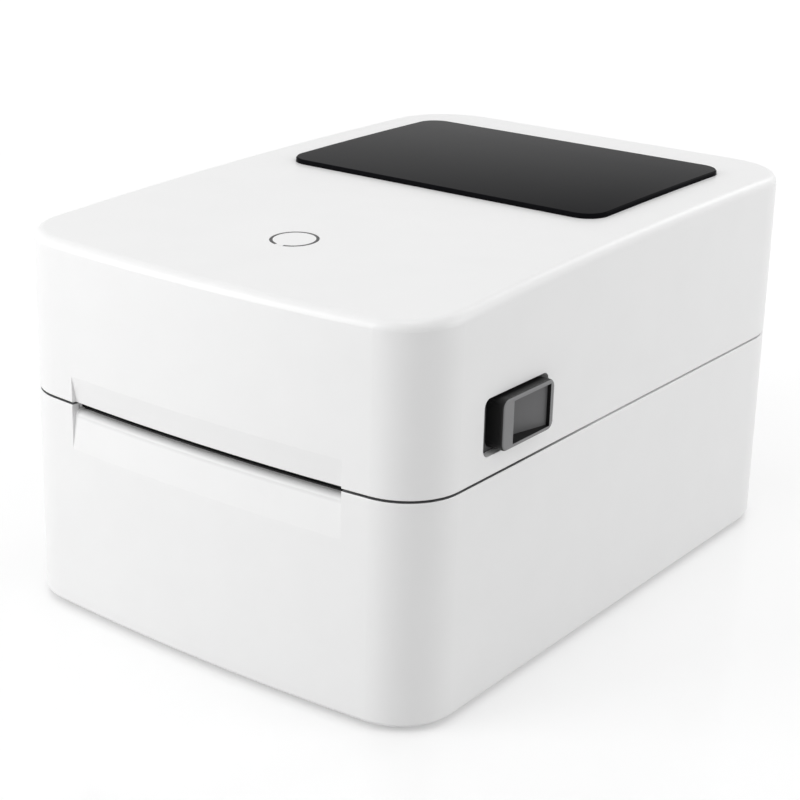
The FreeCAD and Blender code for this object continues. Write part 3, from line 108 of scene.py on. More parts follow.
def moulded(name, tone, shade, gloss, ior, grain_mm, grain_depth_mm):
    """Moulded plastic or rubber: two near tones in soft clouds, and a fine grain that its gloss follows."""
    material = new_material(name, IOR=ior)
    where = add_node(material, "ShaderNodeTexCoord").outputs["Object"]
    cloud_mm = 22.0
    gloss_spread = 0.05
    clouds = add_node(
        material, "ShaderNodeTexNoise", {"Scale": 1000 / cloud_mm, "Detail": 3.0}, {"Vector": where},
    )
    grain = add_node(
        material, "ShaderNodeTexNoise", {"Scale": 1000 / grain_mm, "Detail": 2.0, "Roughness": 0.6},
        {"Vector": where},
    )
    colour = add_node(
        material, "ShaderNodeMix",
        {"data_type": "RGBA", mix_first: linear(shade), mix_second: linear(tone)},
        {"Factor": clouds.outputs["Fac"]},
    )
    rough = add_node(
        material, "ShaderNodeMapRange", {"To Min": gloss - gloss_spread, "To Max": gloss + gloss_spread},
        {"Value": grain.outputs["Fac"]},
    )
    bump = add_node(
        material, "ShaderNodeBump", {"Strength": 0.5, "Distance": grain_depth_mm / 1000},
        {"Height": grain.outputs["Fac"]},
    )
    feed_shader(material, {
        "Base Color": colour.outputs[mix_result],
        "Roughness": rough.outputs["Result"],
        "Normal": bump.outputs["Normal"],
    })
    return material


def lay_over(material, hex_colour, share):
    """Lay a second colour over a material's own; share is a socket, from 0 for none to 1 for all of it."""
    own_colour = shader_of(material).inputs["Base Color"].links[0].from_socket
    both = add_node(
        material, "ShaderNodeMix", {"data_type": "RGBA", mix_second: linear(hex_colour)},
        {"Factor": share, mix_first: own_colour},
    )
    feed_shader(material, {"Base Color": both.outputs[mix_result]})


def dress(material, *names):
    """Give CAD nodes their finish."""
    for name in names:
        slots = nodes[name].data.materials
        slots.clear()
        slots.append(material)


# The real grain is about 0.1 mm, too fine for the picture, so it is drawn at 0.7 mm.
shell_finish = {
    "tone": "#F1F1F1", "shade": "#EDEDED", "gloss": 0.34, "ior": 1.53,
    "grain_mm": 0.7, "grain_depth_mm": 0.006,
}
white_abs = moulded("white_abs_spark_eroded", **shell_finish)
dress(white_abs, "top_cover", "button_cap")

# Painted shade in the seam: round the front, the lower case's rim and inner lip are painted grey, so that
# the seam reads dark. The painted shade thins out along the sides and ends before the hinge. A thin band of
# painted shade runs down the lip of the label exit.
abs_with_painted_seam_shade = moulded("white_abs_with_painted_seam_shade", **shell_finish)
shade_low_edge = 0.08005
shade_thins_from = -0.07
shade_ends = -0.02
exit_half_width = 0.0592
lip_top = 0.0779
lip_shade_low_edge = 0.0750
lip_shade_share = 0.4
where = add_node(abs_with_painted_seam_shade, "ShaderNodeTexCoord").outputs["Object"]
along = add_node(abs_with_painted_seam_shade, "ShaderNodeSeparateXYZ", links={"Vector": where})
on_rim = add_node(
    abs_with_painted_seam_shade, "ShaderNodeMath", {"operation": "GREATER_THAN", 1: shade_low_edge}, {0: along.outputs["Z"]},
)
aside = add_node(abs_with_painted_seam_shade, "ShaderNodeMath", {"operation": "ABSOLUTE"}, {0: along.outputs["X"]})
in_exit = add_node(
    abs_with_painted_seam_shade, "ShaderNodeMath", {"operation": "LESS_THAN", 1: exit_half_width},
    {0: aside.outputs["Value"]},
)
lip_shade = add_node(
    abs_with_painted_seam_shade, "ShaderNodeMapRange",
    {"From Min": lip_shade_low_edge, "From Max": lip_top, "To Max": lip_shade_share},
    {"Value": along.outputs["Z"]},
)
lip_shade = add_node(
    abs_with_painted_seam_shade, "ShaderNodeMath", {"operation": "MULTIPLY"},
    {0: in_exit.outputs["Value"], 1: lip_shade.outputs["Result"]},
)
painted_shade = add_node(
    abs_with_painted_seam_shade, "ShaderNodeMath", {"operation": "MAXIMUM"},
    {0: on_rim.outputs["Value"], 1: lip_shade.outputs["Value"]},
)
at_front = add_node(
    abs_with_painted_seam_shade, "ShaderNodeMapRange", {"From Min": shade_ends, "From Max": shade_thins_from},
    {"Value": along.outputs["Y"]},
)
painted_shade = add_node(
    abs_with_painted_seam_shade, "ShaderNodeMath", {"operation": "MULTIPLY"},
    {0: painted_shade.outputs["Value"], 1: at_front.outputs["Result"]},
)
# The grey laid over the rim, the inner lip and the exit's lip is painted shade.
lay_over(abs_with_painted_seam_shade, "#6C6C6D", painted_shade.outputs["Value"])
dress(abs_with_painted_seam_shade, "lower_case")

# Feet: four discs of black rubber, pressed into seats under the case.
# Moulded nitrile rubber, matte, with a slightly dusty skin.
foot_rubber = moulded(
    "black_nitrile_rubber_moulded", "#262626", "#1B1B1B", gloss=0.75, ior=1.5, grain_mm=0.6,
    grain_depth_mm=0.03,
)
dress(foot_rubber, "foot_front_left", "foot_front_right", "foot_back_left", "foot_back_right")

# Chassis: the deck with its roll bay, the tray under the racks and the carrier of the print head.
# Dark grey ABS, moulded with a coarser grain than the shells, screwed to the bosses of the case.
dark_abs = moulded(
    "dark_grey_abs_eroded", "#454648", "#3B3C3E", gloss=0.5, ior=1.53, grain_mm=0.8, grain_depth_mm=0.02,
)
dress(dark_abs, "chassis", "rack_tray", "head_carrier")


# Shade strip in the label exit: a black strip on the inner edge of the slot's lower lip, along the bowed
# front. It is painted shade, which makes the throat of the slot read black.
def finish_mesh(name, bm, material, smooth=True):
    """Turn a bmesh into an object at the origin, with one material."""
    mesh = bpy.data.meshes.new(name)
    bm.to_mesh(mesh)
    bm.free()
    mesh.materials.append(material)
    if smooth:
        mesh.shade_smooth()
    piece = bpy.data.objects.new(name, mesh)
    bpy.context.scene.collection.objects.link(piece)
    return piece


low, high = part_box("lower_case")
front_bow = 0.0046
bow_radius = (high.x ** 2 + front_bow ** 2) / (2 * front_bow)
bow_centre = low.y + bow_radius
half_sweep = exit_half_width / bow_radius
shade_strip_front = low.y + 0.0047
shade_strip_back = low.y + 0.0074
shade_strip_chamfer = 0.0003
shade_strip_top = lip_top + 0.00035
bm = bmesh.new()
corners = [
    bm.verts.new((0.0, y, z))
    for y, z in (
        (shade_strip_front, lip_top), (shade_strip_back, lip_top),
        (shade_strip_back, shade_strip_top), (shade_strip_front + shade_strip_chamfer, shade_strip_top),
    )
]
profile = bm.faces.new(corners)
bmesh.ops.rotate(
    bm, verts=corners, cent=(0.0, bow_centre, 0.0), matrix=Matrix.Rotation(-half_sweep, 3, "Z"),
)
edges = profile.edges[:]
bmesh.ops.delete(bm, geom=[profile], context="FACES_ONLY")
bmesh.ops.spin(
    bm, geom=edges, cent=(0.0, bow_centre, 0.0), axis=(0, 0, 1), angle=2 * half_sweep, steps=40,
)
bmesh.ops.holes_fill(bm, edges=bm.edges[:], sides=0)
bmesh.ops.recalc_face_normals(bm, faces=bm.faces[:])
# Near-black strip: painted shade for the throat of the label exit.
shade_strip_black = moulded(
    "black_painted_shade_strip", "#141415", "#0E0E0F", gloss=0.55, ior=1.4, grain_mm=0.6, grain_depth_mm=0.01,
)
exit_shade_strip = finish_mesh("exit_shade_strip", bm, shade_strip_black, smooth=False)
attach(exit_shade_strip, "base")


# Turned and drawn steel: platen shaft, motor shaft, pins and screws.
# Ground bright or zinc-plated steel. The grinding wheel leaves fine rings, and the plating a soft mottle.
def worked_metal(name, tone, shade, gloss, line_mm, run_mm, across):
    """Metal with fine tool lines: close together in the directions of across, drawn out in the others."""
    material = new_material(name, Metallic=1.0)
    where = add_node(material, "ShaderNodeTexCoord").outputs["Object"]
    gloss_spread = 0.08
    stretch = [1000 / line_mm if axis in across else 1000 / run_mm for axis in "XYZ"]
    lines = add_node(material, "ShaderNodeMapping", {"Scale": stretch}, {"Vector": where})
    lines = add_node(
        material, "ShaderNodeTexNoise", {"Scale": 1.0, "Detail": 3.0, "Roughness": 0.6},
        {"Vector": lines.outputs["Vector"]},
    )
    colour = add_node(
        material, "ShaderNodeMix",
        {"data_type": "RGBA", mix_first: linear(shade), mix_second: linear(tone)},
        {"Factor": lines.outputs["Fac"]},
    )
    rough = add_node(
        material, "ShaderNodeMapRange", {"To Min": gloss - gloss_spread, "To Max": gloss + gloss_spread},
        {"Value": lines.outputs["Fac"]},
    )
    bump = add_node(
        material, "ShaderNodeBump", {"Strength": 0.3, "Distance": 0.00001}, {"Height": lines.outputs["Fac"]},
    )
    feed_shader(material, {
        "Base Color": colour.outputs[mix_result],
        "Roughness": rough.outputs["Result"],
        "Normal": bump.outputs["Normal"],
    })
    return material


ground_steel = worked_metal(
    "ground_steel", "#C9CBCD", "#AEB1B4", gloss=0.26, line_mm=0.25, run_mm=12.0, across="X",
)
dress(ground_steel, "platen_shaft", "motor_shaft", "idler_pin", "hinge_pins", "head_pivot_pin")
zinc_plate = worked_metal(
    "zinc_plated_steel", "#C4C6C4", "#A3A6A8", gloss=0.34, line_mm=0.9, run_mm=0.9, across="XYZ",
)
dress(zinc_plate, "base_screws", "small_screws", "motor_screws", "plate_screws", "carrier_screws")

# Sheet steel: gear plate, head bracket, latch catches and the toothed tear bar.
# Blanked from cold-rolled sheet and zinc plated, with the faint long lines of the rolls.
rolled_steel = worked_metal(
    "cold_rolled_sheet_steel", "#BFC1C2", "#A6A8AA", gloss=0.36, line_mm=0.4, run_mm=25.0, across="YZ",
)
dress(rolled_steel, "gear_plate", "head_bracket", "catch_left", "catch_right", "tear_bar")

# Platen: the rubber roller that carries the label past the heating line.
# Black rubber on a steel shaft, ground true after moulding, so fine rings run round it.
platen_skin = moulded(
    "black_rubber_ground", "#232324", "#1A1A1B", gloss=0.62, ior=1.5, grain_mm=0.5, grain_depth_mm=0.01,
)
ring_mm = 0.6
ring_run_mm = 125.0
where = add_node(platen_skin, "ShaderNodeTexCoord").outputs["Object"]
rings = add_node(
    platen_skin, "ShaderNodeMapping", {"Scale": (1000 / ring_mm, 1000 / ring_run_mm, 1000 / ring_run_mm)},
    {"Vector": where},
)
rings = add_node(
    platen_skin, "ShaderNodeTexNoise", {"Scale": 1.0, "Detail": 2.0}, {"Vector": rings.outputs["Vector"]},
)
bump = add_node(
    platen_skin, "ShaderNodeBump", {"Strength": 0.4, "Distance": 0.00002}, {"Height": rings.outputs["Fac"]},
)
feed_shader(platen_skin, {"Normal": bump.outputs["Normal"]})
dress(platen_skin, "platen_rubber")

# Gears and bushes: platen gear, stepped idler, the pinion between the racks, and the platen's two bushes.
# Natural acetal, moulded, slightly waxy and a little see-through at its thin edges.
acetal = moulded(
    "natural_acetal_moulded", "#E9E7DF", "#DEDBD1", gloss=0.38, ior=1.48, grain_mm=0.5,
    grain_depth_mm=0.008,
)
shader_of(acetal).inputs["Subsurface Weight"].default_value = 0.15
shader_of(acetal).inputs["Subsurface Radius"].default_value = (0.0012, 0.0010, 0.0008)
dress(acetal, "platen_gear", "idler_gear", "guide_pinion", "platen_bush_left", "platen_bush_right")

# Stepper motor: a painted steel can with a brass pinion pressed on its shaft.
# Black baked enamel with slight orange peel, and brass with the lines of the hob.
enamel = moulded(
    "black_baked_enamel", "#1C1D1F", "#141516", gloss=0.3, ior=1.5, grain_mm=1.2, grain_depth_mm=0.02,
)
dress(enamel, "motor_body")
brass = worked_metal(
    "hobbed_brass", "#C9A756", "#B08E43", gloss=0.28, line_mm=0.3, run_mm=6.0, across="YZ",
)
dress(brass, "motor_pinion")

# Roll guides: two upright plates with hubs that hold the label roll, moved together by racks below.
# Light grey acetal, moulded, smooth enough to slide.
guide_acetal = moulded(
    "grey_acetal_moulded", "#A9ABAD", "#9C9EA0", gloss=0.36, ior=1.48, grain_mm=0.6, grain_depth_mm=0.01,
)
dress(guide_acetal, "roll_guide_left", "roll_guide_right")

# Black mouldings: gap sensor, chips, the two switches, the power rocker and the barrel socket.
# Glass-filled nylon and epoxy, matte, with a fine moulded grain. The rocker is polished, and the barrel
# socket has a bright nickel pin in its middle.
black_nylon = moulded(
    "black_glass_filled_nylon", "#1F2022", "#161718", gloss=0.48, ior=1.53, grain_mm=0.5,
    grain_depth_mm=0.015,
)
dress(black_nylon, "gap_sensor", "board_chips", "power_switch_body", "button_switch")
rocker_polycarbonate = moulded(
    "black_polycarbonate_polished", "#17181A", "#121314", gloss=0.22, ior=1.58, grain_mm=0.9,
    grain_depth_mm=0.006,
)
dress(rocker_polycarbonate, "power_rocker")
barrel_nylon = moulded(
    "black_nylon_with_nickel_pin", "#1F2022", "#161718", gloss=0.45, ior=1.53, grain_mm=0.5,
    grain_depth_mm=0.015,
)
low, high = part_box("dc_socket")
pin_radius = 0.0011
where = add_node(barrel_nylon, "ShaderNodeTexCoord").outputs["Object"]
centred = add_node(
    barrel_nylon, "ShaderNodeMapping",
    {"Location": (-(low.x + high.x) / 2, 0.0, -(low.z + high.z) / 2)}, {"Vector": where},
)
flat = add_node(
    barrel_nylon, "ShaderNodeVectorMath", {"operation": "MULTIPLY", 1: (1.0, 0.0, 1.0)},
    {0: centred.outputs["Vector"]},
)
off_axis = add_node(
    barrel_nylon, "ShaderNodeVectorMath", {"operation": "LENGTH"}, {0: flat.outputs["Vector"]},
)
on_pin = add_node(
    barrel_nylon, "ShaderNodeMath", {"operation": "LESS_THAN", 1: pin_radius},
    {0: off_axis.outputs["Value"]},
)
lay_over(barrel_nylon, "#C8C6C0", on_pin.outputs["Value"])
feed_shader(barrel_nylon, {"Metallic": on_pin.outputs["Value"]})
dress(barrel_nylon, "dc_socket")

# Circuit boards: the main board behind the roll bay and the small board under the feed button.
# Glass epoxy with green solder mask; the copper tracks under the mask show as paler lines.
solder_mask = new_material("green_solder_mask", Roughness=0.32, IOR=1.5)
track_mm = 2.4
where = add_node(solder_mask, "ShaderNodeTexCoord").outputs["Object"]
tracks = add_node(
    solder_mask, "ShaderNodeTexBrick",
    {
        "Scale": 1000 / track_mm, "Mortar Size": 0.09, "Mortar Smooth": 0.2, "Brick Width": 3.0,
        "Row Height": 0.5, "Color1": linear("#123D22"), "Color2": linear("#15462A"),
        "Mortar": linear("#2A7443"),
    },
    {"Vector": where},
)
bump = add_node(
    solder_mask, "ShaderNodeBump", {"Strength": 0.5, "Distance": 0.00003}, {"Height": tracks.outputs["Fac"]},
)
feed_shader(solder_mask, {"Base Color": tracks.outputs["Color"], "Normal": bump.outputs["Normal"]})
dress(solder_mask, "main_board", "button_board")

# Capacitors on the main board.
# Aluminium cans in a dark shrink sleeve, bare and bright on top.
can_sleeve = moulded(
    "aluminium_can_in_sleeve", "#23262F", "#1A1D25", gloss=0.35, ior=1.5, grain_mm=0.8, grain_depth_mm=0.01,
)
upward_from = 0.7
facing = add_node(can_sleeve, "ShaderNodeTexCoord").outputs["Normal"]
facing = add_node(can_sleeve, "ShaderNodeSeparateXYZ", links={"Vector": facing})
can_top = add_node(
    can_sleeve, "ShaderNodeMath", {"operation": "GREATER_THAN", 1: upward_from}, {0: facing.outputs["Z"]},
)
lay_over(can_sleeve, "#C2C4C6", can_top.outputs["Value"])
feed_shader(can_sleeve, {"Metallic": can_top.outputs["Value"]})
dress(can_sleeve, "board_capacitors")

# Ribbon connectors on the main board and on the print head.
# Ivory nylon housings, moulded, with a satin skin.
ivory_nylon = moulded(
    "ivory_nylon_moulded", "#E8E3D4", "#DED8C6", gloss=0.42, ior=1.53, grain_mm=0.5, grain_depth_mm=0.008,
)
dress(ivory_nylon, "board_connector", "head_connector")

# Data socket at the back.
# A shell folded from nickel-plated steel round an insulating tongue.
nickel_plate = worked_metal(
    "nickel_plated_steel", "#D2CFC8", "#B9B6AF", gloss=0.24, line_mm=0.6, run_mm=8.0, across="YZ",
)
dress(nickel_plate, "usb_socket")

# Print head: an aluminium block with a ceramic heating strip under it.
# The block is extruded and bead-blasted; the strip is white alumina with one dark glazed line across.
head_aluminium = worked_metal(
    "blasted_aluminium", "#C3C5C8", "#B2B4B8", gloss=0.42, line_mm=0.5, run_mm=0.5, across="XYZ",
)
dress(head_aluminium, "print_head")
alumina = moulded(
    "alumina_with_glazed_line", "#E6E3DC", "#DCD8CF", gloss=0.3, ior=1.7, grain_mm=0.4,
    grain_depth_mm=0.004,
)
low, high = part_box("platen_rubber")
print_line = (low.y + high.y) / 2
line_width = 0.0012
where = add_node(alumina, "ShaderNodeTexCoord").outputs["Object"]
along = add_node(alumina, "ShaderNodeSeparateXYZ", links={"Vector": where})
glazed = add_node(
    alumina, "ShaderNodeMath", {"operation": "COMPARE", 1: print_line, 2: line_width / 2},
    {0: along.outputs["Y"]},
)
lay_over(alumina, "#5B3A24", glazed.outputs["Value"])
dress(alumina, "heater_strip")

# Head springs: two compression springs between the carrier and the head's bracket.
# Cold-coiled music wire with closed end turns; they press the heating line onto the platen.
spring_wire = worked_metal(
    "music_wire_cold_drawn", "#A9ABAE", "#8F9195", gloss=0.3, line_mm=0.3, run_mm=2.0, across="XYZ",
)


def coil_spring(name, wire, radius, length, open_turns, place):
    """A compression spring standing on z = 0, with one closed turn at each end, then moved to its place."""
    bm = bmesh.new()
    upright = Matrix.Translation((radius, 0.0, wire / 2)) @ Matrix.Rotation(math.pi / 2, 4, "X")
    bmesh.ops.create_circle(bm, segments=12, radius=wire / 2, matrix=upright)
    closed_pitch = wire * 1.04
    open_pitch = (length - wire - 2 * closed_pitch) / open_turns
    front = bm.edges[:]
    turn_steps = 32
    for turns, pitch in ((1, closed_pitch), (open_turns, open_pitch), (1, closed_pitch)):
        swept = bmesh.ops.spin(
            bm, geom=front, cent=(0, 0, 0), axis=(0, 0, 1), dvec=(0, 0, pitch / turn_steps),
            angle=turns * 2 * math.pi, steps=turns * turn_steps,
        )
        front = [g for g in swept["geom_last"] if isinstance(g, bmesh.types.BMEdge)]
    bmesh.ops.holes_fill(bm, edges=bm.edges[:], sides=0)
    bmesh.ops.recalc_face_normals(bm, faces=bm.faces[:])
    bm.transform(place)
    return finish_mesh(name, bm, spring_wire)


for side in ("left", "right"):
    low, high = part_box("head_spring_" + side)
    middle = (low + high) / 2
    spring = coil_spring(
        "head_coil_" + side, wire=0.0009, radius=0.004, length=high.z - low.z, open_turns=5,
        place=Matrix.Translation((middle.x, middle.y, low.z)),
    )
    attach(spring, "cover")
    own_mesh(spring)
    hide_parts("head_spring_" + side)

# Flat ribbon: three lengths of one flexible cable, from the head under the lid, over the hinge to the board.
# Tinned copper strips laminated between polyester films, which show as grey lines in ivory film. The real
# strips are 1 mm apart, too close for the picture, so they are drawn at 2 mm.
ribbon_film = new_material("polyester_flat_cable", Roughness=0.36, IOR=1.6)
strip_pitch = 0.002
where = add_node(ribbon_film, "ShaderNodeTexCoord").outputs["Object"]
strips = add_node(
    ribbon_film, "ShaderNodeTexWave",
    {"wave_type": "BANDS", "bands_direction": "X", "Scale": 2 * math.pi / 20 / strip_pitch},
    {"Vector": where},
)
film_colour = add_node(
    ribbon_film, "ShaderNodeMix",
    {"data_type": "RGBA", mix_first: linear("#E3E0D6"), mix_second: linear("#A9AAA8")},
    {"Factor": strips.outputs["Fac"]},
)
bump = add_node(
    ribbon_film, "ShaderNodeBump", {"Strength": 0.4, "Distance": 0.00004}, {"Height": strips.outputs["Fac"]},
)
feed_shader(ribbon_film, {"Base Color": film_colour.outputs[mix_result], "Normal": bump.outputs["Normal"]})

low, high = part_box("board_cable")
ribbon_left = low.x
ribbon_right = high.x
board_y = (low.y + high.y) / 2
deck_z = high.z
connector_z = low.z
half_thickness = (high.y - low.y) / 2
low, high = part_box("head_cable")
front_y = low.y + half_thickness
back_y = high.y - half_thickness
hinge_z = low.z


def ribbon(name, route, fold, cuts):
    """A flat cable along a route of (y, z) points, with rounded folds of that radius between its runs."""
    film = 0.00035
    shortest_run = 0.002
    bm = bmesh.new()
    line = [bm.verts.new((ribbon_left, y, z)) for y, z in route]
    for before, after in zip(line, line[1:]):
        bm.edges.new((before, after))
    wide = bmesh.ops.extrude_edge_only(bm, edges=bm.edges[:])
    moved = [g for g in wide["geom"] if isinstance(g, bmesh.types.BMVert)]
    bmesh.ops.translate(bm, verts=moved, vec=(ribbon_right - ribbon_left, 0, 0))
    folds = [e for e in bm.edges if len(e.link_faces) == 2]
    if folds:
        bmesh.ops.bevel(
            bm, geom=folds, offset=fold, offset_type="OFFSET", affect="EDGES", segments=8, profile=0.5,
            material=-1,
        )
    runs = [
        e for e in bm.edges
        if abs(e.verts[0].co.x - e.verts[1].co.x) < 1e-6 and e.calc_length() > shortest_run
    ]
    bmesh.ops.subdivide_edges(bm, edges=runs, cuts=cuts, use_grid_fill=True)
    bmesh.ops.recalc_face_normals(bm, faces=bm.faces[:])
    bmesh.ops.solidify(bm, geom=bm.faces[:], thickness=film)
    return finish_mesh(name, bm, ribbon_film)


plug_z = 0.0961
under_lid_front = 0.1377
crest_y = 0.0839
crest_z = 0.1411
under_lid_back = 0.1402
head_ribbon = ribbon(
    "head_ribbon",
    [
        (front_y, plug_z), (front_y, under_lid_front), (crest_y, crest_z), (back_y, under_lid_back),
        (back_y, hinge_z),
    ],
    fold=0.004, cuts=6,
)
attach(head_ribbon, "cover")
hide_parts("head_cable")
straight_end = 0.003
hinge_ribbon = ribbon(
    "hinge_ribbon",
    [
        (board_y, deck_z), (board_y, deck_z + straight_end), (back_y, hinge_z - straight_end),
        (back_y, hinge_z),
    ],
    fold=0.002, cuts=3,
)
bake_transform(hinge_ribbon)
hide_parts("hinge_cable")
board_ribbon = ribbon("board_ribbon", [(board_y, connector_z), (board_y, deck_z)], fold=0.0, cuts=7)
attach(board_ribbon, "base")
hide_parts("board_cable")

# Black panel on top of the lid.
# A plate of black acrylic with bevelled edges, bonded into a shallow seat. Its face has an anti-glare
# coat, so it stays near black from above and greys only at a flat angle, most where the coat runs thin.
black_acrylic = moulded(
    "black_acrylic_anti_glare", "#131315", "#0F0F11", gloss=0.16, ior=1.49, grain_mm=0.9,
    grain_depth_mm=0.001,
)
low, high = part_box("top_panel")
toward_thin = Vector((-0.6, 0.8, 0.0))
thick_corner = Vector((high.x, low.y, 0.0))
thin_corner = Vector((low.x, high.y, 0.0))
where = add_node(black_acrylic, "ShaderNodeTexCoord").outputs["Object"]
along = add_node(
    black_acrylic, "ShaderNodeVectorMath", {"operation": "DOT_PRODUCT", 1: toward_thin}, {0: where},
)
glare = add_node(
    black_acrylic, "ShaderNodeMapRange",
    {
        "From Min": toward_thin.dot(thick_corner), "From Max": toward_thin.dot(thin_corner),
        "To Min": 0.003, "To Max": 0.013,
    },
    {"Value": along.outputs["Value"]},
)
feed_shader(black_acrylic, {"Specular IOR Level": glare.outputs["Result"]})
dress(black_acrylic, "top_panel")

# Light ring round the feed button.
# A C-shaped light guide of smoked polycarbonate, unlit, pressed into the button's rim.
smoked_guide = moulded(
    "smoked_polycarbonate", "#0E0E0F", "#0A0A0B", gloss=0.4, ior=1.58, grain_mm=0.8, grain_depth_mm=0.004,
)
dress(smoked_guide, "button_ring")

# Side latches: pull tabs with a finger pocket that slide in the openings of the lid.
# Black ABS with a grey coat on its outward faces, so the frame is grey. The pocket's floor is painted a
# darker grey as painted shade of the recess, and the black sides are the black moulding with painted shade
# of the gaps round the tab.
latch_coat_and_painted_shade = moulded(
    "black_abs_grey_coat_painted_shade", "#0B0B0C", "#080808", gloss=0.45, ior=1.53, grain_mm=0.6, grain_depth_mm=0.012,
)
low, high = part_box("latch_right")
pocket_rim = high.x - 0.0011
rim_blend = 0.0003
where = add_node(latch_coat_and_painted_shade, "ShaderNodeTexCoord")
facing = add_node(latch_coat_and_painted_shade, "ShaderNodeSeparateXYZ", links={"Vector": where.outputs["Normal"]})
facing = add_node(latch_coat_and_painted_shade, "ShaderNodeMath", {"operation": "ABSOLUTE"}, {0: facing.outputs["X"]})
# Faces not turned outward stay black: the black moulding, and painted shade of the gaps round the tab.
coat_over_gap_shade = add_node(
    latch_coat_and_painted_shade, "ShaderNodeMapRange", {"interpolation_type": "SMOOTHSTEP", "From Min": 0.55, "From Max": 0.8},
    {"Value": facing.outputs["Value"]},
)
outward = add_node(latch_coat_and_painted_shade, "ShaderNodeSeparateXYZ", links={"Vector": where.outputs["Object"]})
outward = add_node(latch_coat_and_painted_shade, "ShaderNodeMath", {"operation": "ABSOLUTE"}, {0: outward.outputs["X"]})
on_frame = add_node(
    latch_coat_and_painted_shade, "ShaderNodeMapRange", {"From Min": pocket_rim - rim_blend, "From Max": pocket_rim},
    {"Value": outward.outputs["Value"]},
)
# The pocket's floor takes the darker grey, painted shade of the recess.
coat_and_pocket_shade = add_node(
    latch_coat_and_painted_shade, "ShaderNodeMix",
    {"data_type": "RGBA", mix_first: linear("#666667"), mix_second: linear("#808081")},
    {"Factor": on_frame.outputs["Result"]},
)
bare_colour = shader_of(latch_coat_and_painted_shade).inputs["Base Color"].links[0].from_socket
latch_colour = add_node(
    latch_coat_and_painted_shade, "ShaderNodeMix", {"data_type": "RGBA"},
    {"Factor": coat_over_gap_shade.outputs["Result"], mix_first: bare_colour, mix_second: coat_and_pocket_shade.outputs[mix_result]},
)
feed_shader(latch_coat_and_painted_shade, {"Base Color": latch_colour.outputs[mix_result]})
shader_of(latch_coat_and_painted_shade).inputs["Specular IOR Level"].default_value = 0.3
dress(latch_coat_and_painted_shade, "latch_left", "latch_right")

# Latch springs: one thin compression spring behind each tab's hook.
# The same music wire, coiled small; each pushes its tab back under the catch.
for side in ("left", "right"):
    low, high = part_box("latch_spring_" + side)
    middle = (low + high) / 2
    length = high.y - low.y
    spring = coil_spring(
        "latch_coil_" + side, wire=0.0004, radius=0.0012, length=length, open_turns=5,
        place=Matrix.Translation((middle.x, low.y, middle.z)) @ Matrix.Rotation(-math.pi / 2, 4, "X"),
    )
    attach(spring, "cover")
    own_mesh(spring)
    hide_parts("latch_spring_" + side)

# Camera, at the photograph's place: a long lens a little above the printer, looking at its front right.
# Its place and turn were fitted to points on the case, and its lens is shifted a little off centre.
image_px = 800
lens_px = 1844.19
centre_column = 384.0
centre_row = 336.0
yaw = 0.6402
pitch = 0.3152
roll = 0.024
camera_place = (0.38969, -0.54975, 0.30623)
forward = Vector((-math.sin(yaw) * math.cos(pitch), math.cos(yaw) * math.cos(pitch), -math.sin(pitch)))
right = Vector((math.cos(yaw), math.sin(yaw), 0.0))
up = right.cross(forward)
across = right * math.cos(roll) + up * math.sin(roll)
upright = up * math.cos(roll) - right * math.sin(roll)
lens = bpy.data.cameras.new("studio_camera")
lens.sensor_width = 36.0
lens.lens = lens_px / image_px * lens.sensor_width
lens.shift_x = (image_px / 2 - centre_column) / image_px
lens.shift_y = (centre_row - image_px / 2) / image_px
lens.clip_end = 20.0
camera = bpy.data.objects.new("studio_camera", lens)
turn = Matrix((across, upright, -forward)).transposed().to_4x4()
camera.matrix_world = Matrix.Translation(camera_place) @ turn
bpy.context.scene.collection.objects.link(camera)
bpy.context.scene.camera = camera


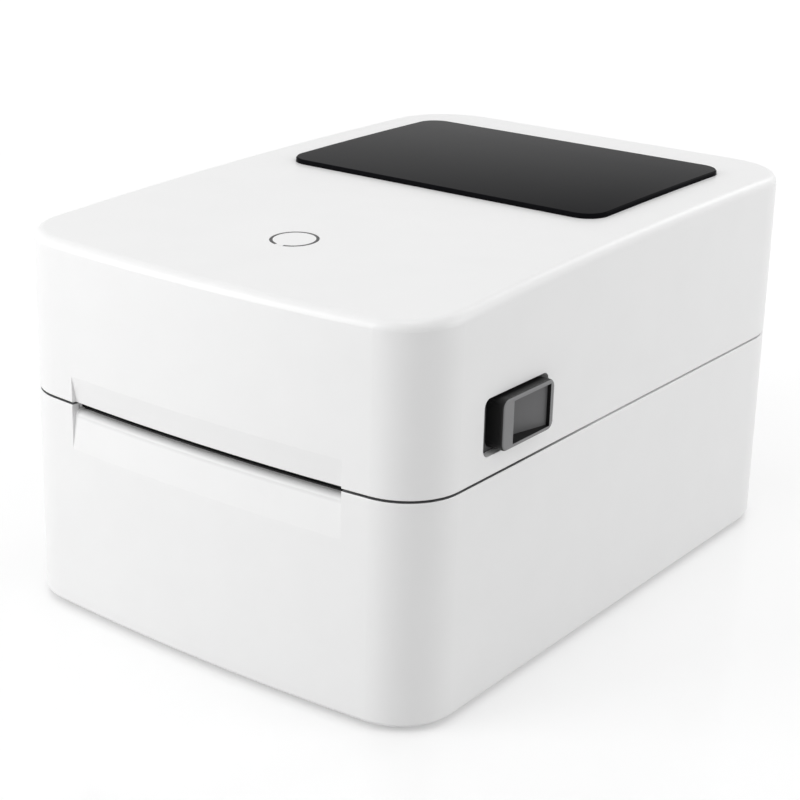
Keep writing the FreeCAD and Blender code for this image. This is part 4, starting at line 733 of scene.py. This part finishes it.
# Floor: a wide white glossy sheet under the printer, which fades into the white backdrop.
# Its glow shows to the camera and in reflections alone, so it turns white without lighting the printer.
def seen_directly(owner):
    """One for rays from the camera, off a glossy face or through glass, and nought for the rest."""
    path = add_node(owner, "ShaderNodeLightPath")
    seen = path.outputs["Is Camera Ray"]
    for ray in ("Is Glossy Ray", "Is Transmission Ray"):
        larger = add_node(owner, "ShaderNodeMath", {"operation": "MAXIMUM"}, {0: seen, 1: path.outputs[ray]})
        seen = larger.outputs["Value"]
    return seen


floor_white = new_material("white_glossy_sheet", Roughness=0.12)
floor_glow = 0.335
shader_of(floor_white).inputs["Base Color"].default_value = linear("#D2D2D2")
shader_of(floor_white).inputs["Emission Color"].default_value = linear("#FFFFFF")
glow = add_node(
    floor_white, "ShaderNodeMath", {"operation": "MULTIPLY", 1: floor_glow},
    {0: seen_directly(floor_white)},
)
feed_shader(floor_white, {"Emission Strength": glow.outputs["Value"]})
sheet = bmesh.new()
bmesh.ops.create_grid(sheet, x_segments=1, y_segments=1, size=6.0)
floor = finish_mesh("studio_floor", sheet, floor_white, smooth=False)

# Studio light: a white tent all round, with soft boxes low at the front left, at the right, overhead and
# behind. The one behind and the small one overhead draw the fine highlights along the lid's edges.
world = bpy.data.worlds.new("white_tent")
world.use_nodes = True
world.node_tree.nodes.clear()
strength = add_node(
    world, "ShaderNodeMapRange", {"To Min": 0.63, "To Max": 1.0}, {"Value": seen_directly(world)},
)
tent = add_node(
    world, "ShaderNodeBackground", {"Color": linear("#FFFFFF")}, {"Strength": strength.outputs["Result"]},
)
add_node(world, "ShaderNodeOutputWorld", links={"Surface": tent.outputs["Background"]})
bpy.context.scene.world = world
bpy.context.scene.view_settings.view_transform = "Standard"

printer_middle = Vector((0, 0, 0.07))
for name, place, side, watts in (
    ("front_softbox", (-0.55, -0.85, 0.35), 0.6, 4.2),
    ("right_softbox", (0.95, 0.45, 0.35), 0.6, 2.65),
    ("left_overhead_softbox", (-0.25, -0.6, 0.95), 0.8, 1.0),
    ("overhead_softbox", (0.05, -0.1, 1.15), 0.35, 0.9),
    ("back_softbox", (0.22, 1.0, 0.76), 0.5, 1.6),
):
    softbox = bpy.data.lights.new(name, "AREA")
    softbox.shape = "SQUARE"
    softbox.size = side
    softbox.energy = watts
    lamp = bpy.data.objects.new(name, softbox)
    lamp.location = place
    lamp.rotation_euler = (printer_middle - lamp.location).to_track_quat("-Z", "Y").to_euler()
    bpy.context.scene.collection.objects.link(lamp)
